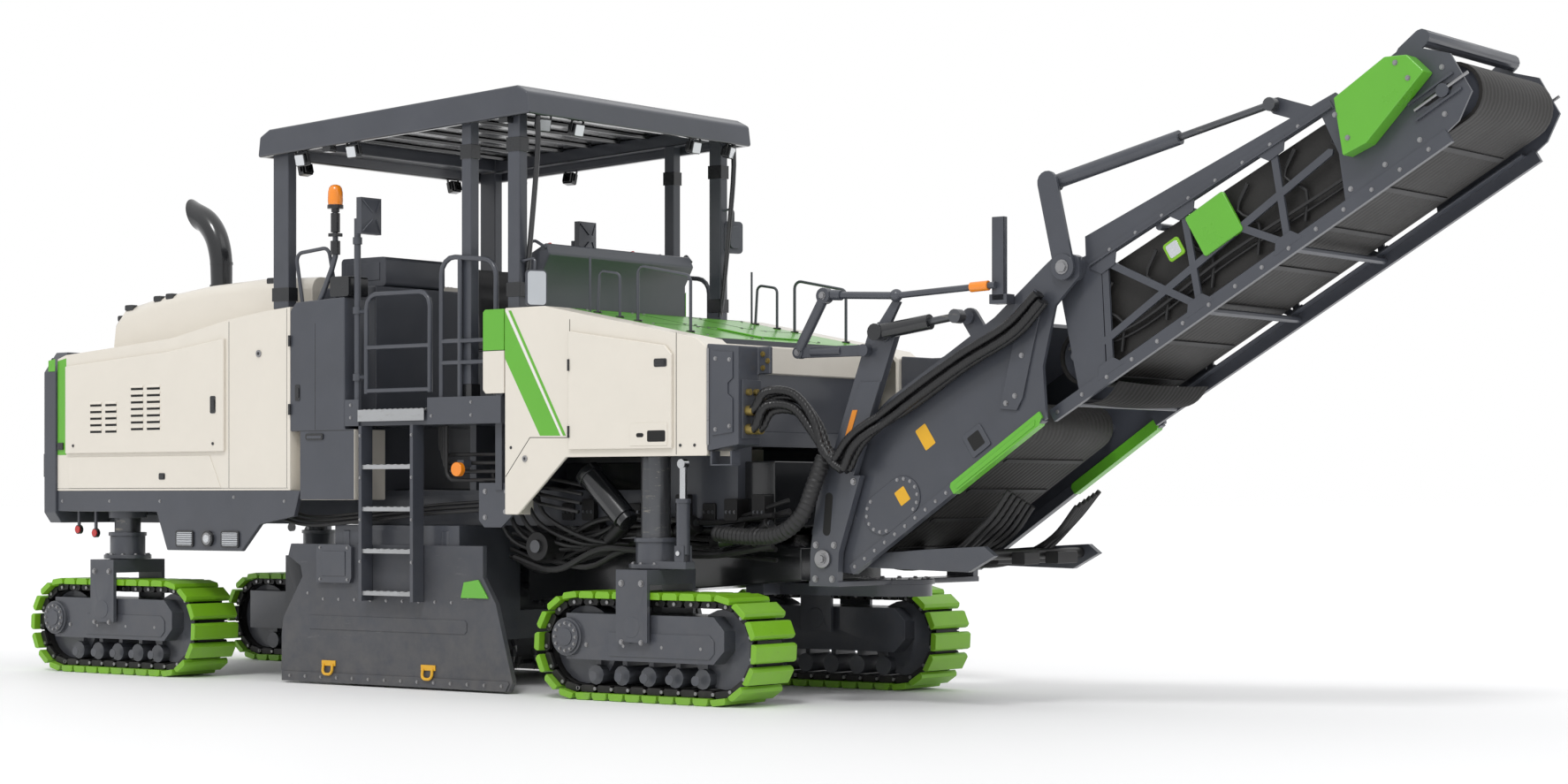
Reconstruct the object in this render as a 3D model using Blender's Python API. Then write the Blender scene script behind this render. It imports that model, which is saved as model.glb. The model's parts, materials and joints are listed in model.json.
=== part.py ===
"""Cold planer milling machine on four steered tracks, with a slewing and folding discharge conveyor.

Metres, +Z up, +X towards the conveyor's discharge end, +Y to the machine's left.
Everything is placed from a machine datum midway between the track columns, on the ground.
The last step moves the whole machine so that the middle of its box stands on the origin.
"""

from math import atan2, cos, hypot, pi, radians, sin, tan

import bmesh
import bpy
from mathutils import Matrix, Vector

RIGHT, LEFT = -1, 1
SIDES = (("right", RIGHT), ("left", LEFT))

# Clearances
SEAT = 0.0003          # between two pieces that rest on each other
GAP = 0.006            # between moving panels and what frames them
RUNNING = 0.0006       # round a column in its guide

# Tracks and lifting columns
TRACK_LENGTH = 1.92
TRACK_HEIGHT = 0.73
TRACK_WIDTH = 0.44
TRACK_CENTRE_Y = 1.02
WHEELBASE = 5.33
SHOES = 30
SHOE_THICK = 0.05
CHAIN_THICK = 0.05
SHOE_GAP = 0.022
ROLLERS = 5
ROLLER_RADIUS = 0.068
FRAME_LENGTH = 1.36
FRAME_HEIGHT = 0.31
FRAME_WIDTH = 0.40
HUB_RADIUS = 0.13
COLUMN_RADIUS = 0.10
SLEEVE_RADIUS = 0.135
SLEEVE_TOP = 1.09
COLUMN_BACK = 0.06     # a column stands this far behind the middle of its track
YOKE_PLATE = 0.03
YOKE_LEG_WIDTH = 0.27
YOKE_TOP = 0.88
YOKE_THICK = 0.10
GUIDE_WALL = 0.045
FRONT_GUIDE = (1.66, 2.25)
REAR_GUIDE = (1.20, 1.60)
COLUMN_IN_GUIDE = 0.40

# Body
HALF_WIDTH = 1.22
WALL = 0.03
PANEL = 0.025          # doors and covers that lie on a wall
FRAME_TOP = 1.41
FRAME_LOW = 1.16
REAR_END = -3.32
REAR_FRONT = -0.70
SHOULDER = ((-3.32, 2.44), (-3.22, 2.47), (-2.0, 2.56), (-1.35, 2.68), (-0.95, 2.73), (-0.70, 2.75))
HOOD_HALF_WIDTH = 0.96
HOOD_REAR = -2.96
HOOD_FRONT = -0.74
HOOD_TOP = ((-2.96, 2.60), (-2.94, 2.76), (-2.85, 2.84), (-2.4, 2.92), (-1.9, 2.975), (-1.35, 3.0), (-0.74, 2.99))
HOOD_EDGE = 0.09
BUMPER_DEPTH = 0.14
ENGINE_SIZE = (1.55, 1.00, 0.85)
TANK_FRONT = -0.14
TANK_HALF_WIDTH = 0.90
TANK_TOP = 2.90
CABINET_LOW = 1.84
CABINET_TOP = 2.80

# Milling drum
DRUM_X = 0.22
DRUM_AXIS_Z = 0.56
DRUM_SHELL_RADIUS = 0.42
DRUM_CUT_RADIUS = 0.51
DRUM_HALF_WIDTH = 1.00
TOOL_ROWS = 12
TOOLS_PER_TURN = 4
TOOL_RADIUS = 0.028
HOUSING_INNER = 1.03
HOUSING_WALL = 0.03
HOUSING_HALF_LENGTH = 0.62
HOUSING_LOW = 0.34
BLADE_TOP = 0.80
BLADE_LOW = 0.06
BLADE_THICK = 0.04
SIDE_PLATE_Y = 1.072
SIDE_PLATE_THICK = 0.045
SIDE_PLATE_FOOT = 0.012

# Platform
DECK_TOP = 1.97
DECK_THICK = 0.10
DECK_FRONT = 1.38
RAIL_Y = 1.175
RAIL_RADIUS = 0.018
POST_RADIUS = 0.024
GATE_POST_X = -0.05
TOE_BOARD_TOP = 2.06
LADDER_X = (0.02, 0.56)
LADDER_LOW = 0.62
RUNG_STEP = 0.30

# Front body
FRONT_REAR = 1.42
FRONT_END = 3.20
FRONT_TOP_REAR = 2.66
FRONT_TOP_FRONT = 2.40
NOSE_END = 3.46
DECK_HALF_WIDTH = 0.93
DECK_PANEL_FRONT = 3.02

# Canopy
ROOF_REAR = -1.03
ROOF_FRONT = 1.66
ROOF_HALF_WIDTH = 1.235
ROOF_EDGE_Z = 3.92
ROOF_TILT = 0.045
ROOF_THICK = 0.20
ROOF_SKIN = 0.04
POST_Y = 1.11
POST = 0.085

# Conveyor
SLEW_X = 3.85
SLEW_RADIUS = 0.24
SLEW_ARM = (0.70, 0.78)
SLEW_PLATE = 0.035
LUFF_X = 3.85
LUFF_Z = 0.96
LUFF_TILT = radians(33.8)
FOLD_U = 2.494         # the fold's axis, along and above the lower section from the luffing axis
FOLD_V = 0.509
FOLD_TILT = radians(30.3)
LOWER_HALF_WIDTH = 0.74
LOWER_WALL = 0.03
UPPER_HALF_WIDTH = 0.64
UPPER_LENGTH = 2.74
BELT_HALF_WIDTH = 0.50
BELT_THICK = 0.022
MAST_Y = (0.76, 0.82)
LUFF_EYE_MAST = (4.33, 2.41)
LUFF_EYE_FRAME = (1.748, 0.671)
CYLINDER_Y = 0.876
FOLD_LEVER = 0.543
FOLD_LEVER_ANGLE = radians(102.8)
FOLD_EYE_FRAME = (1.644, 0.075)
FOLD_CYLINDER_Y = 0.69

COLOURS = {
    # name: (colour, roughness, metallic)
    "cream_paint": ((0.74, 0.70, 0.62), 0.4, 0.0),
    "green_paint": ((0.22, 0.50, 0.05), 0.4, 0.0),
    "dark_paint": ((0.075, 0.08, 0.095), 0.45, 0.0),
    "black_rubber": ((0.02, 0.02, 0.02), 0.8, 0.0),
    "track_green": ((0.24, 0.50, 0.02), 0.5, 0.0),
    "bare_steel": ((0.45, 0.45, 0.46), 0.35, 0.9),
    "amber_lens": ((0.9, 0.35, 0.02), 0.2, 0.0),
    "mirror_glass": ((0.7, 0.75, 0.8), 0.05, 1.0),
    "seat_vinyl": ((0.03, 0.03, 0.035), 0.6, 0.0),
}


# ---------------------------------------------------------------- shapes

def box(x, y, z):
    """A closed box between the pairs x, y and z."""
    bm = bmesh.new()
    bmesh.ops.create_cube(bm, size=1.0)
    size = Matrix.Diagonal((x[1] - x[0], y[1] - y[0], z[1] - z[0], 1.0))
    middle = Matrix.Translation(((x[0] + x[1]) / 2, (y[0] + y[1]) / 2, (z[0] + z[1]) / 2))
    bmesh.ops.transform(bm, matrix=middle @ size, verts=bm.verts)
    return bm


def prism(outline, across, along="Y"):
    """An outline of two coordinates pushed between the pair across: (x, z) along Y, (y, z) along X or (x, y) along Z."""
    place = {
        "X": lambda p, a: (a, p[0], p[1]),
        "Y": lambda p, a: (p[0], a, p[1]),
        "Z": lambda p, a: (p[0], p[1], a),
    }[along]
    bm = bmesh.new()
    low, high = sorted(across)
    rings = [[bm.verts.new(place(p, a)) for p in outline] for a in (low, high)]
    count = len(outline)
    for i in range(count):
        j = (i + 1) % count
        bm.faces.new((rings[0][i], rings[0][j], rings[1][j], rings[1][i]))
    bm.faces.new(rings[0])
    bm.faces.new(rings[1])
    bmesh.ops.recalc_face_normals(bm, faces=bm.faces)
    return bm


def ring_prism(outer, inner, across):
    """A band between two outlines in (x, z), pushed along Y between the pair across."""
    bm = bmesh.new()
    loops = [
        [[bm.verts.new((p[0], y, p[1])) for p in outline] for y in across]
        for outline in (outer, inner)
    ]
    for near, far in loops:
        for i in range(len(near)):
            j = (i + 1) % len(near)
            bm.faces.new((near[i], near[j], far[j], far[i]))
    bm.edges.ensure_lookup_table()
    for side in (0, 1):
        edges = [
            bm.edges.get((loop[side][i], loop[side][(i + 1) % len(loop[side])]))
            for loop in loops
            for i in range(len(loop[side]))
        ]
        bmesh.ops.triangle_fill(bm, use_beauty=True, use_dissolve=False, edges=edges)
    bmesh.ops.recalc_face_normals(bm, faces=bm.faces)
    return bm


def rod(start, end, radius, sides=12, tip=None):
    """A round bar from start to end, narrowing to the radius tip if that is given."""
    start, end = Vector(start), Vector(end)
    run = end - start
    bm = bmesh.new()
    bmesh.ops.create_cone(
        bm, cap_ends=True, segments=sides, radius1=radius,
        radius2=radius if tip is None else tip, depth=run.length,
    )
    turn = run.to_track_quat("Z", "Y").to_matrix().to_4x4()
    bmesh.ops.transform(bm, matrix=Matrix.Translation((start + end) / 2) @ turn, verts=bm.verts)
    return bm


def wheel(centre, radius, width, sides=24):
    """A disc on an axle along Y."""
    x, y, z = centre
    return rod((x, y - width / 2, z), (x, y + width / 2, z), radius, sides)


def rounded(points, radius, steps=3):
    """The points of a bent bar's centre line, each corner turned into an arc of that radius."""
    points = [Vector(p) for p in points]
    path = [points[0]]
    for before, corner, after in zip(points, points[1:], points[2:]):
        into, out = (before - corner).normalized(), (after - corner).normalized()
        half = into.angle(out) / 2
        reach = min(radius / tan(half), (before - corner).length * 0.45, (after - corner).length * 0.45)
        bend = reach * tan(half)
        centre = corner + (into + out).normalized() * (bend / sin(half))
        first, last = (corner + into * reach - centre).normalized(), (corner + out * reach - centre).normalized()
        for k in range(steps + 1):
            path.append(centre + first.slerp(last, k / steps) * bend)
    return path + [points[-1]]


def tube(points, radius, sides=8):
    """A bar with flat ends along the points."""
    points = [Vector(p) for p in points]
    bm = bmesh.new()
    rings = []
    across = None
    for i, point in enumerate(points):
        before = (point - points[i - 1]).normalized() if i else None
        after = (points[i + 1] - point).normalized() if i + 1 < len(points) else None
        run = (before or after) if not (before and after) else (before + after).normalized()
        if across is None:
            across = run.orthogonal().normalized()
        across = (across - run * across.dot(run)).normalized()
        up = run.cross(across)
        stretch = 1 / max(0.3, run.dot(before or after))
        ring = []
        for k in range(sides):
            turn = 2 * pi * (k + 0.5) / sides
            spoke = across * cos(turn) + up * sin(turn)
            if before and after and (after - before).length > 1e-6:
                bend = (after - before).normalized()
                spoke += bend * spoke.dot(bend) * (stretch - 1)
            ring.append(bm.verts.new(point + spoke * radius))
        rings.append(ring)
    for ring, following in zip(rings, rings[1:]):
        for k in range(sides):
            n = (k + 1) % sides
            bm.faces.new((ring[k], ring[n], following[n], following[k]))
    bm.faces.new(rings[0])
    bm.faces.new(rings[-1])
    bmesh.ops.recalc_face_normals(bm, faces=bm.faces)
    return bm


def slotted_loop(length, height, width_pair, thick, arc_steps=12):
    """A plain belt loop round two drums."""
    def outline(inset):
        radius = height / 2 - inset
        reach = (length - height) / 2
        points = []
        for centre, start in ((reach, -pi / 2), (-reach, pi / 2)):
            for k in range(arc_steps + 1):
                turn = start + pi * k / arc_steps
                points.append((centre + radius * cos(turn), radius * sin(turn)))
        return points
    return ring_prism(outline(0.0), outline(thick), width_pair)


# ---------------------------------------------------------------- objects

def material(name):
    if name in bpy.data.materials:
        return bpy.data.materials[name]
    colour, roughness, metallic = COLOURS[name]
    made = bpy.data.materials.new(name)
    made.use_nodes = True
    shader = made.node_tree.nodes["Principled BSDF"]
    shader.inputs["Base Color"].default_value = (*colour, 1.0)
    shader.inputs["Roughness"].default_value = roughness
    shader.inputs["Metallic"].default_value = metallic
    return made


def loose_object(name, bm):
    mesh = bpy.data.meshes.new(name)
    bm.to_mesh(mesh)
    bm.free()
    made = bpy.data.objects.new(name, mesh)
    bpy.context.scene.collection.objects.link(made)
    return made


def fuse(name, solids, cuts=()):
    """One object from overlapping solids, less the cuts."""
    base = loose_object(name, solids[0])
    helpers = []
    for operation, group in (("UNION", solids[1:]), ("DIFFERENCE", cuts)):
        if not group:
            continue
        tools = bpy.data.collections.new(f"{name}_{operation.lower()}")
        for i, bm in enumerate(group):
            tool = loose_object(f"{name}_tool{i}", bm)
            bpy.context.scene.collection.objects.unlink(tool)
            tools.objects.link(tool)
            helpers.append(tool)
        bpy.context.scene.collection.children.link(tools)
        step = base.modifiers.new(operation.title(), "BOOLEAN")
        step.operation = operation
        step.operand_type = "COLLECTION"
        step.collection = tools
        step.solver = "EXACT"
    bpy.context.view_layer.update()
    shape = bpy.data.meshes.new_from_object(base.evaluated_get(bpy.context.evaluated_depsgraph_get()))
    base.modifiers.clear()
    base.data = shape
    shape.name = name
    for tool in helpers:
        bpy.data.objects.remove(tool)
    for tools in [c for c in bpy.data.collections if c.name.startswith(f"{name}_")]:
        bpy.data.collections.remove(tools)
    return base


def part(name, solids, finish, parent, cuts=()):
    """A named piece in its parent's own frame."""
    made = fuse(name, solids, cuts)
    made.data.materials.clear()
    made.data.materials.append(material(finish))
    made.data.shade_smooth()
    made.data.set_sharp_from_angle(angle=radians(30))
    made.parent = parent
    return made


def pivot(name, place, parent, tilt=0.0):
    """An empty on a joint's axis. tilt raises its +X axis."""
    made = bpy.data.objects.new(name, None)
    bpy.context.scene.collection.objects.link(made)
    made.empty_display_size = 0.2
    made.parent = parent
    made.location = place
    made.rotation_euler = (0.0, -tilt, 0.0)
    return made


def moved(bm, offset):
    bmesh.ops.translate(bm, vec=Vector(offset), verts=bm.verts)
    return bm


# ---------------------------------------------------------------- tracks

def shoe_outline():
    """The track's outer outline with its shoes, centred on the track, as (x, z)."""
    radius = TRACK_HEIGHT / 2
    reach = TRACK_LENGTH / 2 - radius
    straight, arc = 2 * reach, pi * radius

    def at(distance, depth):
        distance %= 2 * (straight + arc)
        half, rest = divmod(distance, straight + arc)
        sign = -1 if half else 1
        if rest < straight:
            x, z = reach - rest, radius - depth
        else:
            turn = (rest - straight) / radius
            x, z = -reach - (radius - depth) * sin(turn), (radius - depth) * cos(turn)
        return sign * x, sign * z

    pitch = 2 * (straight + arc) / SHOES
    points = []
    for k in range(SHOES):
        begin, finish = k * pitch + SHOE_GAP / 2, (k + 1) * pitch - SHOE_GAP / 2
        points += [at(begin, SHOE_THICK), at(begin, 0.0), at(finish, 0.0), at(finish, SHOE_THICK)]
    return points


def inner_outline(steps=12):
    radius = TRACK_HEIGHT / 2 - SHOE_THICK - CHAIN_THICK
    reach = TRACK_LENGTH / 2 - TRACK_HEIGHT / 2
    points = []
    for centre, start in ((-reach, pi / 2), (reach, -pi / 2)):
        for k in range(steps + 1):
            turn = start + pi * k / steps
            points.append((centre + radius * cos(turn), radius * sin(turn)))
    return points


def track_unit(name, x, side, machine):
    """One crawler: shoes, frame with its rollers, and the yoke on its lifting column."""
    axis = pivot(f"{name}_steering_axis", (x - COLUMN_BACK, side * TRACK_CENTRE_Y, 0.0), machine)
    middle = (COLUMN_BACK, 0.0, TRACK_HEIGHT / 2)
    half = TRACK_WIDTH / 2

    part(f"{name}_track", [moved(ring_prism(shoe_outline(), inner_outline(), (-half, half)), middle)],
         "track_green", axis)

    wheel_radius = TRACK_HEIGHT / 2 - SHOE_THICK - CHAIN_THICK - SEAT
    reach = TRACK_LENGTH / 2 - TRACK_HEIGHT / 2
    roller_z = SHOE_THICK + CHAIN_THICK + ROLLER_RADIUS + SEAT
    beam_low = 0.27
    beam_high = beam_low + FRAME_HEIGHT
    corner = 0.09
    ends = FRAME_LENGTH / 2
    plate = [(-ends, beam_low), (ends - corner, beam_low), (ends, beam_low + corner),
             (ends, beam_high - corner), (ends - corner, beam_high), (-ends, beam_high)]
    solids = [prism([(COLUMN_BACK + px, pz) for px, pz in plate], (-FRAME_WIDTH / 2, FRAME_WIDTH / 2))]
    for end in (-1, 1):
        solids.append(wheel((COLUMN_BACK + end * reach, 0.0, TRACK_HEIGHT / 2), wheel_radius, 0.16))
    first = -0.46
    for k in range(ROLLERS):
        place = COLUMN_BACK + first + k * (-2 * first) / (ROLLERS - 1)
        solids.append(wheel((place, 0.0, roller_z), ROLLER_RADIUS, 0.30, 12))
        solids.append(box((place - 0.02, place + 0.02), (-0.12, 0.12), (roller_z, beam_low + 0.02)))
    solids.append(rod((COLUMN_BACK - ends + 0.02, side * 0.10, 0.42),
                      (COLUMN_BACK - ends + 0.02, side * (half + 0.004), 0.42), HUB_RADIUS, 20))
    inner = half + 0.005
    outer = inner + YOKE_PLATE
    guide_top = (FRONT_GUIDE if x > 0 else REAR_GUIDE)[0] + COLUMN_IN_GUIDE
    leg = YOKE_LEG_WIDTH / 2
    foot = 0.50
    solids += [
        wheel((0, 0, foot), 0.07, 2 * outer + 0.006, 16),
        box((-leg, leg), (-outer, outer), (YOKE_TOP - YOKE_THICK, YOKE_TOP)),
        rod((0, 0, YOKE_TOP - 0.02), (0, 0, SLEEVE_TOP), SLEEVE_RADIUS, 24),
        rod((0, 0, SLEEVE_TOP - 0.02), (0, 0, guide_top), COLUMN_RADIUS, 48),
    ]
    for edge in (-1, 1):
        solids.append(box((-leg, leg), sorted((edge * inner, edge * outer)), (foot - 0.10, YOKE_TOP - 0.02)))
    part(f"{name}_track_frame", solids, "dark_paint", axis)


# ---------------------------------------------------------------- frame

def main_frame(machine):
    """The welded frame: side members, belly, column guides and the arm that carries the conveyor."""
    high = FRAME_TOP - SEAT
    solids = []
    for side in (RIGHT, LEFT):
        y = sorted((side * 0.55, side * 0.70))
        solids.append(box((REAR_END, 3.05), y, (FRAME_LOW, high)))
        solids.append(box((2.30, 3.05), y, (FRAME_LOW, 1.80)))
        solids.append(box((2.90, 3.05), sorted((side * 0.30, side * 0.42)), (SLEW_ARM[0], FRAME_LOW + 0.05)))
    solids.append(box((REAR_END, -0.95), (-0.62, 0.62), (FRAME_LOW, 1.28)))
    solids.append(box((2.30, 3.05), (-0.62, 0.62), (1.70, 1.80)))
    solids.append(box((2.30, 3.05), (-0.62, 0.62), (FRAME_LOW, 1.22)))
    solids.append(box((2.90, 3.05), (-0.42, 0.42), SLEW_ARM))
    solids.append(box((2.95, SLEW_X), (-SLEW_RADIUS, SLEW_RADIUS), SLEW_ARM))
    solids.append(rod((SLEW_X, 0, SLEW_ARM[0]), (SLEW_X, 0, SLEW_ARM[1]), SLEW_RADIUS, 24))
    cuts = []
    bore = COLUMN_RADIUS + RUNNING
    for x, (low, top) in ((WHEELBASE / 2, FRONT_GUIDE), (-WHEELBASE / 2, REAR_GUIDE)):
        x -= COLUMN_BACK
        for side in (RIGHT, LEFT):
            y = side * TRACK_CENTRE_Y
            solids.append(rod((x, y, low), (x, y, top), COLUMN_RADIUS + GUIDE_WALL, 24))
            inner = sorted((side * 0.60, side * (TRACK_CENTRE_Y - 0.11)))
            solids.append(box((x - 0.10, x + 0.10), inner, (low + 0.02, low + 0.12)))
            cuts.append(rod((x, y, low - 0.1), (x, y, top + 0.1), bore, 48))
    return part("main_frame", solids, "dark_paint", machine, cuts)


def engine(machine):
    length, width, height = ENGINE_SIZE
    x = -2.05
    low = FRAME_TOP + WALL + SEAT
    part("engine_block", [box((x - length / 2, x + length / 2), (-width / 2, width / 2), (low, low + height))],
         "dark_paint", machine)


# ---------------------------------------------------------------- rear body

def on_line(line, x):
    """The height of a broken line at x."""
    for (x0, z0), (x1, z1) in zip(line, line[1:]):
        if x0 <= x <= x1:
            return z0 + (z1 - z0) * (x - x0) / (x1 - x0)
    return line[0][1] if x < line[0][0] else line[-1][1]


def rear_body(machine):
    outline = [(REAR_END, FRAME_TOP)] + list(SHOULDER) + [(REAR_FRONT, FRAME_TOP)]
    inside = [(REAR_END + WALL, FRAME_TOP + WALL)]
    inside += [(min(max(x, REAR_END + WALL), REAR_FRONT - WALL), z - WALL) for x, z in SHOULDER[1:]]
    inside.append((REAR_FRONT - WALL, FRAME_TOP + WALL))
    inner = HALF_WIDTH - WALL
    mouth = HOOD_HALF_WIDTH - 0.05
    cuts = [
        prism(inside, (-inner, inner)),
        box((HOOD_REAR + 0.05, HOOD_FRONT - 0.05), (-mouth, mouth), (2.2, 3.2)),
    ]
    x = -WHEELBASE / 2 - COLUMN_BACK
    for side in (RIGHT, LEFT):
        cuts.append(rod((x, side * TRACK_CENTRE_Y, 1.3), (x, side * TRACK_CENTRE_Y, 1.5),
                        COLUMN_RADIUS + GUIDE_WALL + 0.01, 24))
        (x0, x1), (z0, z1) = REAR_DOOR
        cuts.append(box((x0 + 0.06, x1 - 0.06), sorted((side * 1.1, side * 1.3)), (z0 + 0.06, z1 - 0.10)))
    part("rear_body", [prism(outline, (-HALF_WIDTH, HALF_WIDTH))], "cream_paint", machine, cuts)


REAR_DOOR = ((-3.20, -1.39), (1.70, 2.44))


def rear_door(name, side, machine):
    (x0, x1), (z0, z1) = REAR_DOOR
    axis = pivot(f"rear_door_{name}_axis", (x1, side * (HALF_WIDTH + SEAT + PANEL), z0), machine)
    y = sorted((-side * PANEL, 0.0))
    outline = [(x0 - x1, 0.0), (0.0, 0.0), (0.0, z1 - z0 + 0.10), (-0.62, z1 - z0 + 0.02), (x0 - x1, z1 - z0 - 0.06)]
    part(f"rear_door_{name}", [prism(outline, y)], "cream_paint", axis)


def loft(rings):
    """A closed skin through rings of as many points, with flat ends."""
    bm = bmesh.new()
    rows = [[bm.verts.new(p) for p in ring] for ring in rings]
    for row, following in zip(rows, rows[1:]):
        for k in range(len(row)):
            n = (k + 1) % len(row)
            bm.faces.new((row[k], row[n], following[n], following[k]))
    bm.faces.new(rows[0])
    bm.faces.new(rows[-1])
    bmesh.ops.recalc_face_normals(bm, faces=bm.faces)
    return bm


def hood_ring(x, low, top, half, edge):
    """A section of the hood: upright sides and a rounded top."""
    edge = min(edge, (top - low) * 0.6)
    points = [(x, -half, low)]
    for k in range(5):
        turn = pi / 2 * k / 4
        points.append((x, -half + edge * (1 - cos(turn)), top - edge + edge * sin(turn)))
    for k in range(4, -1, -1):
        turn = pi / 2 * k / 4
        points.append((x, half - edge * (1 - cos(turn)), top - edge + edge * sin(turn)))
    points.append((x, half, low))
    return points


def engine_hood(machine):
    """The lid over the engine, hinged along its rear edge, with the exhaust on it."""
    seat_z = on_line(SHOULDER, HOOD_REAR) + SEAT
    axis = pivot("engine_hood_axis", (HOOD_REAR, 0.0, seat_z), machine)
    stations = sorted({x for x, _ in HOOD_TOP} | {x for x, _ in SHOULDER if HOOD_REAR < x < HOOD_FRONT})

    def skin(inset, drop):
        rings = []
        for x in stations:
            place = min(max(x, HOOD_REAR + inset), HOOD_FRONT - inset)
            low = on_line(SHOULDER, place) + SEAT - drop
            top = max(on_line(HOOD_TOP, place) - inset, low + 0.04)
            rings.append(hood_ring(place - HOOD_REAR, low - seat_z, top - seat_z, HOOD_HALF_WIDTH - inset, HOOD_EDGE))
        unique = [rings[0]]
        for ring in rings[1:]:
            if ring[0][0] - unique[-1][0][0] > 1e-6:
                unique.append(ring)
        return loft(unique)

    part("engine_hood", [skin(0.0, 0.0)], "cream_paint", axis, [skin(WALL, 0.2)])
    x, y = -2.40 - HOOD_REAR, -0.35
    flange = 0.15
    foot = on_line(HOOD_TOP, HOOD_REAR + x + flange) - seat_z + SEAT
    path = rounded([(x, y, foot), (x, y, foot + 0.34), (x - 0.34, y, foot + 0.68)], 0.30, 4)
    part("exhaust", [tube(path, 0.095, 16), rod((x, y, foot), (x, y, foot + 0.03), flange, 20)], "dark_paint", axis)


def rear_frame(machine):
    """The dark frame round the tail, with the cooler's recess."""
    x0, x1 = REAR_END - BUMPER_DEPTH, REAR_END - SEAT
    half = HALF_WIDTH + 0.02
    outline = [(-half + 0.06, 1.16), (half - 0.06, 1.16), (half, 1.24), (half, 2.34), (half - 0.12, 2.50),
               (-half + 0.12, 2.50), (-half, 2.34), (-half, 1.24)]
    recess = box((x0 - 0.1, x0 + 0.06), (-0.85, 0.85), (1.62, 2.34))
    part("rear_frame", [prism(outline, (x0, x1), "X")], "dark_paint", machine, [recess])


def skirt(name, side, machine):
    """The dark band under the rear body, with the lamp panel that hangs from it."""
    y = sorted((side * 1.18, side * HALF_WIDTH))
    top = FRAME_TOP - SEAT
    outline = [(REAR_END + SEAT, 1.25), (-2.16, 1.25), (-2.04, 0.96), (-1.22, 0.96), (-1.02, 1.16), (-0.66, 1.22),
               (-0.60, top), (REAR_END + SEAT, top)]
    part(f"skirt_{name}", [prism(outline, y)], "dark_paint", machine)


def hydraulic_tank(machine):
    part("hydraulic_tank", [box((REAR_FRONT + SEAT, TANK_FRONT), (-TANK_HALF_WIDTH, TANK_HALF_WIDTH),
                                (FRAME_TOP + SEAT, TANK_TOP))], "dark_paint", machine)


def side_cabinet(name, side, machine):
    """A dark cabinet over a lower cover, beside the tank."""
    y = sorted((side * (TANK_HALF_WIDTH + SEAT), side * HALF_WIDTH))
    x0, x1 = REAR_FRONT + SEAT, TANK_FRONT
    upper = [(x0, CABINET_LOW), (x1, CABINET_LOW), (x1, CABINET_TOP), (x0 + 0.06, CABINET_TOP - 0.02),
             (x0, CABINET_TOP - 0.08)]
    lower = [(x0 + 0.10, 1.34), (x1 + 0.10, 1.34), (x1 + 0.10, CABINET_LOW + 0.01), (x0 + 0.10, CABINET_LOW + 0.01)]
    part(f"side_cabinet_{name}", [prism(upper, y), prism(lower, y)], "dark_paint", machine)


# ---------------------------------------------------------------- milling unit

def milling_unit(machine):
    x0, x1 = DRUM_X - HOUSING_HALF_LENGTH, DRUM_X + HOUSING_HALF_LENGTH
    outer = HOUSING_INNER + HOUSING_WALL
    top = FRAME_LOW - SEAT
    solids = [
        box((x0, x1), (-outer, outer), (top - HOUSING_WALL, top)),
        box((x0, x0 + HOUSING_WALL), (-outer, outer), (BLADE_TOP + BLADE_THICK / 2 + GAP, top)),
        box((x1 - HOUSING_WALL, x1), (-outer, outer), (HOUSING_LOW, top)),
    ]
    cuts = [box((x1 - 0.1, x1 + 0.1), (-0.42, 0.42), (0.55, 1.0))]
    for side in (RIGHT, LEFT):
        solids.append(box((x0, x1), sorted((side * HOUSING_INNER, side * outer)), (HOUSING_LOW, top)))
        for guide in (x0 + 0.10, x1 - 0.16):
            solids.append(box((guide, guide + 0.06), sorted((side * (outer - 0.01), side * (SIDE_PLATE_Y - 0.0005))),
                              (HOUSING_LOW + 0.05, top - 0.04)))
    part("drum_housing", solids, "dark_paint", machine, cuts)

    axis = pivot("milling_drum_axis", (DRUM_X, 0.0, DRUM_AXIS_Z), machine)
    reach = HOUSING_INNER - SEAT
    solids = [wheel((0, 0, 0), DRUM_SHELL_RADIUS, 2 * DRUM_HALF_WIDTH, 32), wheel((0, 0, 0), 0.14, 2 * reach, 20)]
    for row in range(TOOL_ROWS):
        y = (-DRUM_HALF_WIDTH + 0.05) + row * (2 * DRUM_HALF_WIDTH - 0.10) / (TOOL_ROWS - 1)
        for k in range(TOOLS_PER_TURN):
            turn = 2 * pi * k / TOOLS_PER_TURN + abs(row - (TOOL_ROWS - 1) / 2) * 0.33
            out = Vector((cos(turn), 0, sin(turn)))
            foot, tip = out * (DRUM_SHELL_RADIUS - 0.03), out * DRUM_CUT_RADIUS
            solids.append(rod((foot.x, y, foot.z), (tip.x, y, tip.z), TOOL_RADIUS, 6, 0.010))
    part("milling_drum", solids, "bare_steel", axis)

    blade = pivot("scraper_blade_axis", (x0 + HOUSING_WALL / 2, 0.0, BLADE_TOP), machine)
    half = HOUSING_INNER - 0.012
    height = BLADE_TOP - BLADE_LOW
    part("scraper_blade", [box((-BLADE_THICK / 2, BLADE_THICK / 2), (-half, half), (-height, 0.0)),
                           wheel((0, 0, 0), 0.0115, 2 * (HOUSING_INNER - SEAT), 12)], "dark_paint", blade)


SIDE_PLATE = ((-0.90, 0.012), (1.36, 0.012), (1.40, 0.08), (1.24, 0.62), (1.12, 0.80), (1.12, 1.02), (-0.80, 1.02),
              (-0.83, 0.93), (-0.70, 0.86), (-0.68, 0.78), (-0.88, 0.48), (-0.90, 0.36))


def side_plate(name, side, machine):
    """The plate that rides on the ground beside the drum and slides up."""
    y = sorted((side * SIDE_PLATE_Y, side * (SIDE_PLATE_Y + SIDE_PLATE_THICK)))
    part(f"side_plate_{name}", [prism(list(SIDE_PLATE), y)], "dark_paint", machine)


# ---------------------------------------------------------------- platform

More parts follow.
